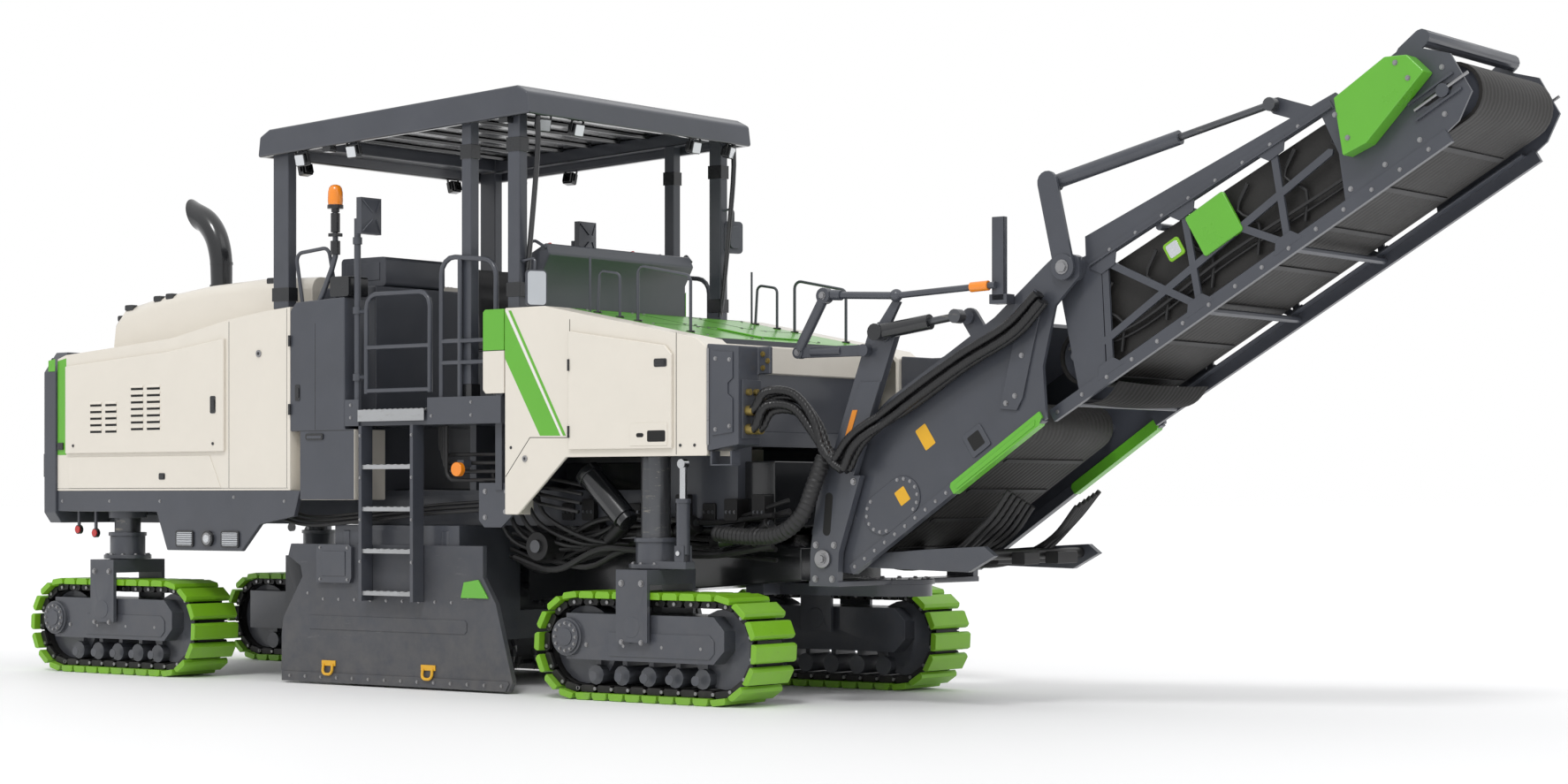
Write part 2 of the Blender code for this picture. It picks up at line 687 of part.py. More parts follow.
def platform(machine):
    low = DECK_TOP - DECK_THICK
    x0 = TANK_FRONT + SEAT
    solids = [
        box((x0, DECK_FRONT), (-1.20, 1.20), (low, DECK_TOP)),
        box((0.70, 0.76), (-0.80, 0.80), (FRAME_TOP + SEAT, low + 0.01)),
        box((1.26, 1.32), (-1.14, 1.14), (FRAME_TOP + SEAT, low + 0.01)),
        box((1.32, DECK_FRONT), (-1.20, 1.20), (low, 2.62)),
    ]
    for side in (RIGHT, LEFT):
        edge = sorted((side * 1.1955, side * 1.215))
        solids.append(box((x0, 0.0), edge, (low, TOE_BOARD_TOP)))
        solids.append(box((0.68, DECK_FRONT), edge, (low, TOE_BOARD_TOP)))
        y = side * RAIL_Y
        solids.append(rod((GATE_POST_X, y, DECK_TOP - 0.02), (GATE_POST_X, y, 3.36), POST_RADIUS, 24))
        solids.append(rod((GATE_POST_X, y, 3.33), (0.06, y, 3.33), 0.012, 8))
        solids.append(box((0.04, 0.09), (y - 0.10, y + 0.10), (3.24, 3.50)))
    part("platform", solids, "dark_paint", machine)


def ladder(name, side, machine):
    """Two stiles and their rungs, hung from the platform's edge."""
    x0, x1 = LADDER_X
    y = sorted((side * 1.125, side * 1.235))
    top = DECK_TOP - DECK_THICK - SEAT
    solids = [box((x0, x0 + 0.03), y, (LADDER_LOW, top)), box((x1 - 0.03, x1), y, (LADDER_LOW, top))]
    rungs = int((top - LADDER_LOW) / RUNG_STEP)
    for k in range(rungs):
        z = LADDER_LOW + 0.04 + k * RUNG_STEP
        solids.append(box((x0 + 0.01, x1 - 0.01), (y[0] + 0.01, y[1] - 0.01), (z, z + 0.03)))
    part(f"ladder_{name}", solids, "dark_paint", machine)


def gate(name, side, machine):
    """The tube gate at the ladder's head. It swings in on its post."""
    axis = pivot(f"gate_{name}_axis", (GATE_POST_X, side * RAIL_Y, DECK_TOP), machine)
    r = RAIL_RADIUS
    x0, x1 = 0.09, 0.72
    frame = rounded([(x0, 0, 0.13), (x0, 0, 0.84), (x1, 0, 0.84), (x1, 0, 0.13)], 0.10, 3)
    solids = [tube(frame, r), rod((x0, 0, 0.46), (x1, 0, 0.46), r * 0.9, 8), rod((x0, 0, 0.15), (x1, 0, 0.15), r * 0.9, 8)]
    for z in (0.25, 0.72):
        solids.append(rod((POST_RADIUS + 0.0006, 0, z), (x0, 0, z), r * 0.8, 8))
    part(f"gate_{name}", solids, "dark_paint", axis)


def handrail(name, side, machine):
    """The loops ahead of the gate."""
    y = side * RAIL_Y
    foot = DECK_TOP + SEAT
    r = RAIL_RADIUS
    outer = rounded([(0.78, y, foot), (0.78, y, 3.05), (1.30, y, 3.00), (1.30, y, foot)], 0.12, 4)
    solids = [tube(outer, r)]
    for z in (2.30, 2.45):
        solids.append(rod((0.78, y, z), (1.30, y, z), r * 0.9, 8))
    solids.append(rod((0.96, y, foot), (0.96, y, 3.03), r, 8))
    part(f"handrail_{name}", solids, "dark_paint", machine)


def seat(name, side, machine):
    y = side * 0.55
    foot = DECK_TOP + SEAT
    solids = [
        rod((0.92, y, foot), (0.92, y, 2.42), 0.06, 16),
        rod((0.92, y, foot), (0.92, y, foot + 0.02), 0.14, 20),
        box((0.70, 1.10), (y - 0.22, y + 0.22), (2.40, 2.50)),
        prism([(0.66, 2.44), (0.76, 2.46), (0.70, 3.00), (0.60, 3.00)], (y - 0.20, y + 0.20)),
    ]
    part(f"seat_{name}", solids, "seat_vinyl", machine)


def console(machine):
    """The control console in front of the seats."""
    foot = 2.62 + SEAT
    solids = [prism([(1.30, foot), (DECK_FRONT, foot), (DECK_FRONT, 2.92), (1.46, 3.06), (1.42, 3.14), (1.16, 3.02),
                     (1.16, 2.90), (1.30, 2.84)], (-0.80, 0.80))]
    part("console", solids, "dark_paint", machine)


# ---------------------------------------------------------------- front body

def front_outline(inset=0.0):
    """The side of the front body as (x, z)."""
    return [
        (FRONT_REAR + inset, 1.24 - inset), (1.54, 1.24 - inset), (1.98, 1.63 - inset), (FRONT_END - inset, 1.63 - inset),
        (FRONT_END - inset, FRONT_TOP_FRONT - 0.06 - inset), (FRONT_END - 0.08, FRONT_TOP_FRONT - inset),
        (1.78, FRONT_TOP_REAR - inset), (FRONT_REAR + inset, FRONT_TOP_REAR - inset),
    ]


FRONT_DOOR = ((2.02, 2.92), (1.68, 2.34))


def front_body(name, side, machine):
    y = sorted((side * (DECK_HALF_WIDTH + 0.02), side * HALF_WIDTH))
    reach = sorted((side * 0.5, side * (HALF_WIDTH - WALL)))
    cuts = [prism(front_outline(WALL), reach)]
    cuts.append(box((1.9, FRONT_END - WALL), reach, (1.5, 1.7)))
    (x0, x1), (z0, z1) = FRONT_DOOR
    cuts.append(box((x0 + 0.05, x1 - 0.05), sorted((side * 1.1, side * 1.3)), (z0 + 0.05, z1 - 0.08)))
    part(f"front_body_{name}", [prism(front_outline(), y)], "cream_paint", machine, cuts)


def front_door(name, side, machine):
    (x0, x1), (z0, z1) = FRONT_DOOR
    axis = pivot(f"front_door_{name}_axis", (x0, side * (HALF_WIDTH + SEAT + PANEL), z0), machine)
    y = sorted((-side * PANEL, 0.0))
    outline = [(0.0, 0.0), (x1 - x0, 0.0), (x1 - x0, z1 - z0 - 0.04), (x1 - x0 - 0.06, z1 - z0 + 0.02), (0.0, z1 - z0 + 0.14)]
    part(f"front_door_{name}", [prism(outline, y)], "cream_paint", axis)


def front_panel(name, side, machine):
    """The dark end panel over the front track, with the bracket of the stay."""
    y = sorted((side * 0.98, side * HALF_WIDTH))
    x0 = FRONT_END + SEAT
    solids = [
        prism([(x0, 1.66), (NOSE_END, 1.70), (NOSE_END, 2.34), (x0, 2.36)], y),
        box((NOSE_END - 0.01, NOSE_END + 0.10), sorted((side * 0.98, side * 1.01)), (2.16, 2.34)),
    ]
    part(f"front_panel_{name}", solids, "dark_paint", machine)


def front_deck(machine):
    """The sloping cover between the front bodies."""
    half = DECK_HALF_WIDTH
    slope = (FRONT_TOP_FRONT - FRONT_TOP_REAR) / (FRONT_END - 0.08 - 1.78)
    front_z = FRONT_TOP_REAR + slope * (DECK_PANEL_FRONT - 1.78)
    foot = 1.80 + SEAT
    top = [(FRONT_REAR, FRONT_TOP_REAR), (1.78, FRONT_TOP_REAR), (DECK_PANEL_FRONT, front_z)]
    outline = [(FRONT_REAR, foot)] + top + [(DECK_PANEL_FRONT, foot)]
    inside = [(FRONT_REAR + WALL, foot - 0.1)]
    inside += [(min(max(x, FRONT_REAR + WALL), DECK_PANEL_FRONT - WALL), z - WALL) for x, z in top]
    inside.append((DECK_PANEL_FRONT - WALL, foot - 0.1))
    cuts = [prism(inside, (-half + WALL, half - WALL))]
    for side in (RIGHT, LEFT):
        x = WHEELBASE / 2 - COLUMN_BACK
        cuts.append(rod((x, side * TRACK_CENTRE_Y, 1.6), (x, side * TRACK_CENTRE_Y, FRONT_GUIDE[1] + 0.02),
                        COLUMN_RADIUS + GUIDE_WALL + 0.012, 24))
    part("front_deck", [prism(outline, (-half, half))], "green_paint", machine, cuts)


# ---------------------------------------------------------------- canopy

def roof_z(x):
    return ROOF_EDGE_Z + ROOF_TILT * (x - (ROOF_REAR + ROOF_FRONT) / 2)


def canopy(machine):
    x0, x1 = ROOF_REAR, ROOF_FRONT
    half = ROOF_HALF_WIDTH
    outline = [(x0, roof_z(x0)), (x1, roof_z(x1)), (x1 - 0.02, roof_z(x1) + ROOF_THICK - 0.05),
               (x1 - 0.12, roof_z(x1) + ROOF_THICK), (x0 + 0.12, roof_z(x0) + ROOF_THICK),
               (x0 + 0.02, roof_z(x0) + ROOF_THICK - 0.05)]
    h0, h1 = x0 + 0.06, x1 - 0.06
    hollow = [(h0, roof_z(h0) - 0.1), (h1, roof_z(h1) - 0.1),
              (h1, roof_z(h1) + ROOF_THICK - ROOF_SKIN), (h0, roof_z(h0) + ROOF_THICK - ROOF_SKIN)]
    part("canopy_roof", [prism(outline, (-half, half))], "dark_paint", machine,
         [prism(hollow, (-half + 0.06, half - 0.06))])

    beam_top = ROOF_THICK - ROOF_SKIN - SEAT
    beam = 0.10

    def under(x, drop):
        return roof_z(x) + beam_top - drop

    rear, inner, front = (-0.95, -0.79), (0.95, 1.04), (1.385, 1.375 + 0.12)
    solids = []
    for side in (RIGHT, LEFT):
        y = sorted((side * (POST_Y - POST / 2), side * (POST_Y + POST / 2)))
        solids.append(prism([(rear[0], under(rear[0], beam)), (front[1], under(front[1], beam)),
                             (front[1], under(front[1], 0.0)), (rear[0], under(rear[0], 0.0))], y))
        for (a, b), foot in ((rear, on_line(SHOULDER, rear[1]) + SEAT), (inner, DECK_TOP + SEAT),
                             (front, FRONT_TOP_REAR + SEAT)):
            solids.append(prism([(a, foot), (b, foot), (b, under(b, 0.02)), (a, under(a, 0.02))], y))
    for a, b in (rear, front):
        solids.append(prism([(a, under(a, beam - 0.01)), (b, under(b, beam - 0.01)), (b, under(b, 0.0)),
                             (a, under(a, 0.0))], (-POST_Y, POST_Y)))
    part("canopy_frame", solids, "dark_paint", machine)


# ---------------------------------------------------------------- conveyor

def oblong(start, end, radius, across, steps=8):
    """A link plate with round ends from start to end in (x, z)."""
    turn = atan2(end[1] - start[1], end[0] - start[0])
    points = []
    for (x, z), begin in ((end, turn - pi / 2), (start, turn + pi / 2)):
        for k in range(steps + 1):
            a = begin + pi * k / steps
            points.append((x + radius * cos(a), z + radius * sin(a)))
    return prism(points, across)


def conveyor_mount(machine):
    """The slewing mount: a turntable plate, two yoke plates and the masts on them."""
    axis = pivot("conveyor_slew_axis", (SLEW_X, 0.0, SLEW_ARM[1]), machine)
    low = SEAT
    top = low + SLEW_PLATE
    dz = -SLEW_ARM[1]
    dx = -SLEW_X
    outer = MAST_Y[1]
    solids = [
        rod((0, 0, low), (0, 0, top), SLEW_RADIUS + 0.02, 24),
        box((-0.12, 0.12), (-outer, outer), (low, top)),
    ]
    for side in (RIGHT, LEFT):
        y = sorted((side * MAST_Y[0], side * MAST_Y[1]))
        yoke = [(3.74, 0.785), (3.96, 0.785), (3.97, 1.00), (4.14, 1.50), (3.82, 1.52), (3.74, 1.00)]
        solids.append(prism([(x + dx, max(z + dz, low)) for x, z in yoke], y))
        mast = [(3.86, 1.48), (4.08, 1.48), (4.42, 2.40), (4.38, 2.48), (4.28, 2.48), (4.20, 2.40)]
        solids.append(prism([(x + dx, z + dz) for x, z in mast], y))
        stay = (side * (MAST_Y[1] - 0.01), side * (MAST_Y[1] + 0.05))
        solids.append(oblong((4.20 + dx, 2.30 + dz), (3.68 + dx, 2.30 + dz), 0.035, sorted(stay)))
        inner = sorted((side * (LOWER_HALF_WIDTH + SEAT), side * (MAST_Y[0] + 0.01)))
        solids.append(wheel((LUFF_X + dx, sum(inner) / 2, LUFF_Z + dz), 0.05, inner[1] - inner[0], 16))
    part("conveyor_mount", solids, "dark_paint", axis)
    return axis


def lower_section(mount):
    """The lower half of the conveyor, from the luffing axis to the ears that carry the upper half."""
    axis = pivot("conveyor_luff_axis", (LUFF_X - SLEW_X, 0.0, LUFF_Z - SLEW_ARM[1]), mount, LUFF_TILT)
    half = LOWER_HALF_WIDTH
    inner = half - LOWER_WALL
    outline = [(-0.06, -0.06), (0.10, -0.18), (1.86, -0.18), (2.02, 0.10), (2.30, 0.36), (FOLD_U + 0.05, FOLD_V - 0.10),
               (FOLD_U + 0.11, FOLD_V), (FOLD_U + 0.03, FOLD_V + 0.11), (FOLD_U - 0.12, FOLD_V + 0.10), (1.90, 0.56),
               (0.95, 0.60), (0.30, 0.52), (-0.04, 0.22)]
    solids = []
    for side in (RIGHT, LEFT):
        solids.append(prism(outline, sorted((side * inner, side * half))))
        solids.append(box((0.10, 1.84), sorted((side * (half - 0.05), side * (half + 0.012))), (-0.185, -0.12)))
        solids.append(wheel((LUFF_EYE_FRAME[0], side * half, LUFF_EYE_FRAME[1]), 0.045, 0.05, 12))
        solids.append(oblong((1.75, 0.50), LUFF_EYE_FRAME, 0.06, sorted((side * inner, side * half))))
    solids.append(prism([(0.28, 0.47), (0.95, 0.56), (1.90, 0.52), (1.90, 0.55), (0.95, 0.59), (0.28, 0.50)],
                        (-half + 0.01, half - 0.01)))
    solids.append(box((-0.03, 0.0), (-half + 0.01, half - 0.01), (-0.04, 0.20)))
    solids += belt_on_drums("lower_belt", 0.03, 1.65, 0.28, 0.02, 2 * inner + 0.02, axis)
    part("lower_conveyor", solids, "dark_paint", axis)
    return axis


def belt_on_drums(name, start, end, height, middle_v, shaft, axis):
    """Makes a belt loop and gives back the two drums that carry it."""
    length = end - start
    middle = ((start + end) / 2, 0.0, middle_v)
    belt = slotted_loop(length, height, (-BELT_HALF_WIDTH, BELT_HALF_WIDTH), BELT_THICK)
    part(name, [moved(belt, middle)], "black_rubber", axis)
    reach = (length - height) / 2
    drum = height / 2 - BELT_THICK - SEAT
    solids = []
    for sign in (-1, 1):
        place = (middle[0] + sign * reach, 0, middle_v)
        solids.append(wheel(place, drum, 2 * BELT_HALF_WIDTH - 0.04, 24))
        solids.append(wheel(place, 0.03, shaft, 12))
    return solids


def upper_section(lower):
    """The upper half of the conveyor: a truss on each side, cross-members and the head."""
    axis = pivot("conveyor_fold_axis", (FOLD_U, 0.0, FOLD_V), lower, FOLD_TILT - LUFF_TILT)
    half = UPPER_HALF_WIDTH
    inner = half - 0.035
    low, high = (-0.74, -0.66), (-0.055, 0.0)
    solids = []
    for side in (RIGHT, LEFT):
        y = sorted((side * inner, side * half))
        thin = sorted((side * (inner + 0.008), side * (half - 0.008)))
        solids.append(box((-0.60, UPPER_LENGTH - 0.28), y, low))
        solids.append(prism([(0.10, high[0]), (1.95, high[0] - 0.10), (1.95, high[1] - 0.10), (0.10, high[1])], y))
        solids.append(prism([(-0.36, -0.68), (-0.14, -0.68), (0.16, -0.10), (0.14, 0.02), (-0.10, 0.06), (-0.16, -0.06)], thin))
        solids.append(prism([(0.08, -0.02), (2.02, -0.13), (2.00, -0.08), (0.16, 0.13)], thin))
        solids.append(prism([(1.72, -0.70), (2.30, -0.70), (2.55, -0.66), (2.70, -0.56), (2.70, -0.30), (2.50, -0.10),
                             (1.86, -0.12), (1.84, -0.40)], thin))
        for a, b in (((-0.10, -0.67), (0.20, -0.08)), ((0.20, -0.08), (0.62, -0.67)), ((0.62, -0.67), (0.82, -0.10)),
                     ((0.82, -0.10), (1.30, -0.67)), ((1.30, -0.67), (1.50, -0.13)), ((-0.05, -0.50), (1.80, -0.36))):
            solids.append(oblong(a, b, 0.022, thin, 2))
        solids.append(oblong((FOLD_EYE_FRAME[0], FOLD_EYE_FRAME[1]), (1.80, -0.10), 0.05, thin, 4))
        hub = (side * (half - 0.02), side * (LOWER_HALF_WIDTH - LOWER_WALL - SEAT))
        solids.append(rod((0.0, hub[0], 0.0), (0.0, hub[1], 0.0), 0.085, 16))
    for u, v in ((-0.42, -0.70), (0.62, -0.70), (1.30, -0.70), (0.62, -0.10), (1.90, -0.16)):
        solids.append(wheel((u, 0, v), 0.022, 2 * inner + 0.03, 8))
    solids.append(rod((2.60, -half + 0.01, -0.12), (2.60, half - 0.01, -0.12), 0.05, 12))
    for side in (RIGHT, LEFT):
        solids.append(oblong((2.46, -0.14), (2.60, -0.12), 0.05, sorted((side * (inner + 0.008), side * (half - 0.008))), 4))
    solids += belt_on_drums("upper_belt", -0.46, UPPER_LENGTH, 0.36, -0.46, 2 * inner + 0.03, axis)
    part("upper_conveyor", solids, "dark_paint", axis)

    y0 = half - 0.008 + SEAT
    cover = [(1.90, -0.47), (2.06, -0.49), (2.56, -0.34), (2.52, -0.20), (2.40, -0.13), (2.02, -0.15)]
    part("head_cover", [prism(cover, (-y0 - 0.13, -y0))], "green_paint", axis)
    return axis


def barrel_and_rod(name, hinge, length, barrel_end, rod_start, thick, y, eye):
    """One cylinder in its hinge's frame: a bored barrel and its rod, which leaves the bore at the barrel's end."""
    bore = thick * 0.5
    part(f"{name}_barrel", [rod((0.02, y, 0), (barrel_end, y, 0), thick, 16), wheel((0, y, 0), thick * 1.1, eye, 14)],
         "dark_paint", hinge, [rod((0.05, y, 0), (barrel_end + 0.1, y, 0), bore + 0.001, 16)])
    part(f"{name}_rod", [rod((rod_start, y, 0), (length - 0.02, y, 0), bore, 16),
                         wheel((length, y, 0), thick * 0.9, thick * 1.4, 14)], "bare_steel", hinge)


def cylinders(mount, lower, upper):
    """The luffing cylinders, and the lever and cylinder that fold the upper half."""
    base = (LUFF_EYE_MAST[0] - SLEW_X, LUFF_EYE_MAST[1] - SLEW_ARM[1])
    u, v = LUFF_EYE_FRAME
    tip = (LUFF_X - SLEW_X + u * cos(LUFF_TILT) - v * sin(LUFF_TILT),
           LUFF_Z - SLEW_ARM[1] + u * sin(LUFF_TILT) + v * cos(LUFF_TILT))
    hinge, length = line_of_action("luff_cylinder_axis", base, tip, mount)
    for name, side in SIDES:
        barrel_and_rod(f"luff_{name}", hinge, length, 0.40, 0.16, 0.05, side * CYLINDER_Y,
                       2 * (CYLINDER_Y - MAST_Y[1] - SEAT))

    turn = FOLD_LEVER_ANGLE - LUFF_TILT
    lever = pivot("fold_lever_axis", (FOLD_U, 0.0, FOLD_V), lower, turn)
    part("fold_lever", [oblong((0.0, 0.0), (FOLD_LEVER, 0.0), 0.07, (-LOWER_HALF_WIDTH - 0.03, -LOWER_HALF_WIDTH - SEAT))],
         "dark_paint", lever)
    eye = (FOLD_EYE_FRAME[0], FOLD_EYE_FRAME[1])
    turned = FOLD_TILT - FOLD_LEVER_ANGLE
    tip = (eye[0] * cos(turned) - eye[1] * sin(turned), eye[0] * sin(turned) + eye[1] * cos(turned))
    hinge, length = line_of_action("fold_cylinder_axis", (FOLD_LEVER, 0.0), tip, lever)
    barrel_and_rod("fold", hinge, length, 0.92, 0.51, 0.045, -FOLD_CYLINDER_Y, 2 * (LOWER_HALF_WIDTH - FOLD_CYLINDER_Y))


def line_of_action(name, base, tip, parent):
    """The hinge of a cylinder that points from base to tip, and the distance between its eyes."""
    angle = atan2(tip[1] - base[1], tip[0] - base[0])
    return pivot(name, (base[0], 0.0, base[1]), parent, angle), hypot(tip[0] - base[0], tip[1] - base[1])


def main():
    for leftover in list(bpy.data.objects):
        bpy.data.objects.remove(leftover)
    machine = pivot("machine", (0, 0, 0), None)

    for end, x in (("front", WHEELBASE / 2), ("rear", -WHEELBASE / 2)):
        for name, side in SIDES:
            track_unit(f"{name}_{end}", x, side, machine)
    main_frame(machine)
    engine(machine)
    rear_body(machine)
    engine_hood(machine)
    rear_frame(machine)
    hydraulic_tank(machine)
    milling_unit(machine)
    platform(machine)
    console(machine)
    front_deck(machine)
    canopy(machine)
    for name, side in SIDES:
        rear_door(name, side, machine)
        skirt(name, side, machine)
        side_cabinet(name, side, machine)
        side_plate(name, side, machine)
        ladder(name, side, machine)
        gate(name, side, machine)
        handrail(name, side, machine)
        seat(name, side, machine)
        front_body(name, side, machine)
        front_door(name, side, machine)
        front_panel(name, side, machine)
    mount = conveyor_mount(machine)
    lower = lower_section(mount)
    upper = upper_section(lower)
    cylinders(mount, lower, upper)
    stand_on_origin(machine)


def stand_on_origin(machine):
    """Moves the machine so that the middle of its box is over the origin and its lowest point is at 0."""
    bpy.context.view_layer.update()
    corners = [o.matrix_world @ Vector(c) for o in bpy.data.objects if o.type == "MESH" for c in o.bound_box]
    low = [min(c[i] for c in corners) for i in range(3)]
    high = [max(c[i] for c in corners) for i in range(3)]
    machine.location = (-(low[0] + high[0]) / 2, -(low[1] + high[1]) / 2, -low[2])
    bpy.context.view_layer.update()


main()
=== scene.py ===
"""Looks of the cold planer: paint, panels, tracks, conveyor, hoses, lamps and rails.

Lengths are metres. Places are written from the machine's datum, midway between its track columns on the
ground, with +X towards the conveyor's head and +Y to the machine's left. DATUM carries them to the row frame.
"""
import json
from math import atan2, cos, hypot, pi, radians, sin, tan

import bmesh
import bpy
from mathutils import Matrix, Vector, noise


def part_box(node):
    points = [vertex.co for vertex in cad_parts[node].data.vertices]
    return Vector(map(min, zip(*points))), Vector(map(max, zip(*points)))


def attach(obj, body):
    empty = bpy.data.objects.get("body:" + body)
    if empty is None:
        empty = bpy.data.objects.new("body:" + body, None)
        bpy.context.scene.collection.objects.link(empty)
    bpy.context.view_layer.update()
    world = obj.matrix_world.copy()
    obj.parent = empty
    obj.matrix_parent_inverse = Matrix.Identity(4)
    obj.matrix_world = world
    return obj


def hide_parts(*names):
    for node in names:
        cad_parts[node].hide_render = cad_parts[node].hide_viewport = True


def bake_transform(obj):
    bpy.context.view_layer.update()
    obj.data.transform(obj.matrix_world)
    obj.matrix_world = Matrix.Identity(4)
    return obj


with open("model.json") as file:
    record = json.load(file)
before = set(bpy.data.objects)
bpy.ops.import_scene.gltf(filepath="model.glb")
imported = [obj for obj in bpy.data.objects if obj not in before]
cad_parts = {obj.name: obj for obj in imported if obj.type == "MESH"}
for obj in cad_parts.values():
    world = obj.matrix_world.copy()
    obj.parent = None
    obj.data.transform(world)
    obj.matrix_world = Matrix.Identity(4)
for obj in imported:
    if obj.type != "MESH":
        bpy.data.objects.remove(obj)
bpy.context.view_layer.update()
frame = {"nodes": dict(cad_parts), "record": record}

RIGHT, LEFT = -1, 1
SIDES = (("right", RIGHT), ("left", LEFT))
TAIL_X = -3.32                       # the main frame's rear end, from the datum
DATUM_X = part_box("main_frame")[0][0] - TAIL_X
DATUM = Matrix.Translation((DATUM_X, 0, 0))
BODY_OF = {node: body for body, nodes in frame["record"]["behaviour"]["bodies"].items() for node in nodes}


def tilted(x, z, tilt):
    """A frame at (x, z) whose +X axis is raised by tilt."""
    return Matrix.Translation((x, 0, z)) @ Matrix.Rotation(-tilt, 4, "Y")


LUFF_TILT, FOLD_TILT = radians(33.8), radians(30.3)
LOWER = DATUM @ tilted(3.85, 0.96, LUFF_TILT)
UPPER = LOWER @ tilted(2.494, 0.509, FOLD_TILT - LUFF_TILT)


# ------------------------------------------------------------------ shader groups

def shader_group(name, inputs, outputs):
    """An empty node group with its sockets. inputs and outputs are (name, kind, default)."""
    group = bpy.data.node_groups.new(name, "ShaderNodeTree")
    for label, kind, default in inputs:
        socket = group.interface.new_socket(name=label, in_out="INPUT", socket_type=kind)
        socket.default_value = default
    for label, kind in outputs:
        group.interface.new_socket(name=label, in_out="OUTPUT", socket_type=kind)
    return group, group.nodes.new("NodeGroupInput"), group.nodes.new("NodeGroupOutput")


def add(tree, kind, **settings):
    """A node with its settings; a key that names an input sets that input."""
    node = tree.nodes.new(kind)
    for key, value in settings.items():
        if hasattr(node, key):
            setattr(node, key, value)
        else:
            node.inputs[key.replace("_", " ")].default_value = value
    return node


def mix_colour(tree, factor, first, second):
    node = tree.nodes.new("ShaderNodeMix")
    node.data_type = "RGBA"
    for socket, value in ((0, factor), (6, first), (7, second)):
        if isinstance(value, (float, tuple)):
            node.inputs[socket].default_value = value
        else:
            tree.links.new(value, node.inputs[socket])
    return node.outputs[2]


def number(tree, operation, first, second=0.0, third=0.0):
    node = tree.nodes.new("ShaderNodeMath")
    node.operation = operation
    for socket, value in enumerate((first, second, third)):
        if isinstance(value, (int, float)):
            node.inputs[socket].default_value = value
        else:
            tree.links.new(value, node.inputs[socket])
    return node.outputs[0]


COLOUR, VALUE, SPOT = "NodeSocketColor", "NodeSocketFloat", "NodeSocketVector"


def make_mottle():
    """Broad and fine changes of tone over a painted or moulded surface."""
    group, given, out = shader_group(
        "mottle", [("Place", SPOT, (0, 0, 0)), ("Colour", COLOUR, (1, 1, 1, 1)), ("Amount", VALUE, 0.1), ("Scale", VALUE, 3.0)],
        [("Colour", COLOUR), ("Tone", VALUE)])
    broad = add(group, "ShaderNodeTexNoise", Detail=5.0, Roughness=0.6)
    group.links.new(given.outputs["Place"], broad.inputs["Vector"])
    group.links.new(given.outputs["Scale"], broad.inputs["Scale"])
    tone = number(group, "SUBTRACT", broad.outputs["Fac"], 0.5)
    shade = number(group, "MULTIPLY_ADD", tone, given.outputs["Amount"], 1.0)
    scaled = group.nodes.new("ShaderNodeVectorMath")
    scaled.operation = "SCALE"
    group.links.new(given.outputs["Colour"], scaled.inputs[0])
    group.links.new(shade, scaled.inputs["Scale"])
    group.links.new(scaled.outputs[0], out.inputs["Colour"])
    group.links.new(broad.outputs["Fac"], out.inputs["Tone"])
    return group


def make_road_dust():
    """Pale dust that lies thicker low down and in patches."""
    group, given, out = shader_group(
        "road_dust", [("Place", SPOT, (0, 0, 0)), ("Colour", COLOUR, (1, 1, 1, 1)), ("Dust", COLOUR, (0.23, 0.21, 0.18, 1)),
                      ("Height", VALUE, 1.0), ("Amount", VALUE, 0.2)],
        [("Colour", COLOUR), ("Mask", VALUE)])
    split = group.nodes.new("ShaderNodeSeparateXYZ")
    group.links.new(given.outputs["Place"], split.inputs[0])
    rise = number(group, "DIVIDE", split.outputs["Z"], given.outputs["Height"])
    low = number(group, "SUBTRACT", 1.0, rise)
    low.node.use_clamp = True
    patches = add(group, "ShaderNodeTexNoise", Scale=7.0, Detail=8.0, Roughness=0.7)
    group.links.new(given.outputs["Place"], patches.inputs["Vector"])
    spread = number(group, "MULTIPLY_ADD", patches.outputs["Fac"], 1.6, -0.45)
    spread.node.use_clamp = True
    mask = number(group, "MULTIPLY", number(group, "ADD", low, 0.25), spread)
    mask = number(group, "MULTIPLY", mask, given.outputs["Amount"])
    mask.node.use_clamp = True
    group.links.new(mix_colour(group, mask, given.outputs["Colour"], given.outputs["Dust"]), out.inputs["Colour"])
    group.links.new(mask, out.inputs["Mask"])
    return group


def make_scuffs():
    """Long thin scratches and rubbed patches, as a mask."""
    group, given, out = shader_group(
        "scuffs", [("Place", SPOT, (0, 0, 0)), ("Scale", VALUE, 6.0), ("Amount", VALUE, 0.3)], [("Mask", VALUE)])
    stretch = add(group, "ShaderNodeMapping")
    stretch.inputs["Scale"].default_value = (0.35, 1.0, 2.2)
    group.links.new(given.outputs["Place"], stretch.inputs["Vector"])
    lines = add(group, "ShaderNodeTexNoise", Detail=9.0, Roughness=0.75)
    group.links.new(stretch.outputs[0], lines.inputs["Vector"])
    group.links.new(given.outputs["Scale"], lines.inputs["Scale"])
    edge = number(group, "SUBTRACT", 0.78, given.outputs["Amount"])
    mask = number(group, "MULTIPLY", number(group, "SUBTRACT", lines.outputs["Fac"], edge), 9.0)
    mask.node.use_clamp = True
    group.links.new(mask, out.inputs["Mask"])
    return group


def make_grain():
    """Fine height for orange peel, cast skin or leather grain."""
    group, given, out = shader_group(
        "grain", [("Place", SPOT, (0, 0, 0)), ("Scale", VALUE, 300.0)], [("Height", VALUE)])
    fine = add(group, "ShaderNodeTexNoise", Detail=2.0)
    cells = add(group, "ShaderNodeTexVoronoi")
    for node in (fine, cells):
        group.links.new(given.outputs["Place"], node.inputs["Vector"])
        group.links.new(given.outputs["Scale"], node.inputs["Scale"])
    group.links.new(number(group, "MULTIPLY_ADD", cells.outputs["Distance"], 0.5, fine.outputs["Fac"]), out.inputs["Height"])
    return group


MOTTLE, ROAD_DUST, SCUFFS, GRAIN = make_mottle(), make_road_dust(), make_scuffs(), make_grain()


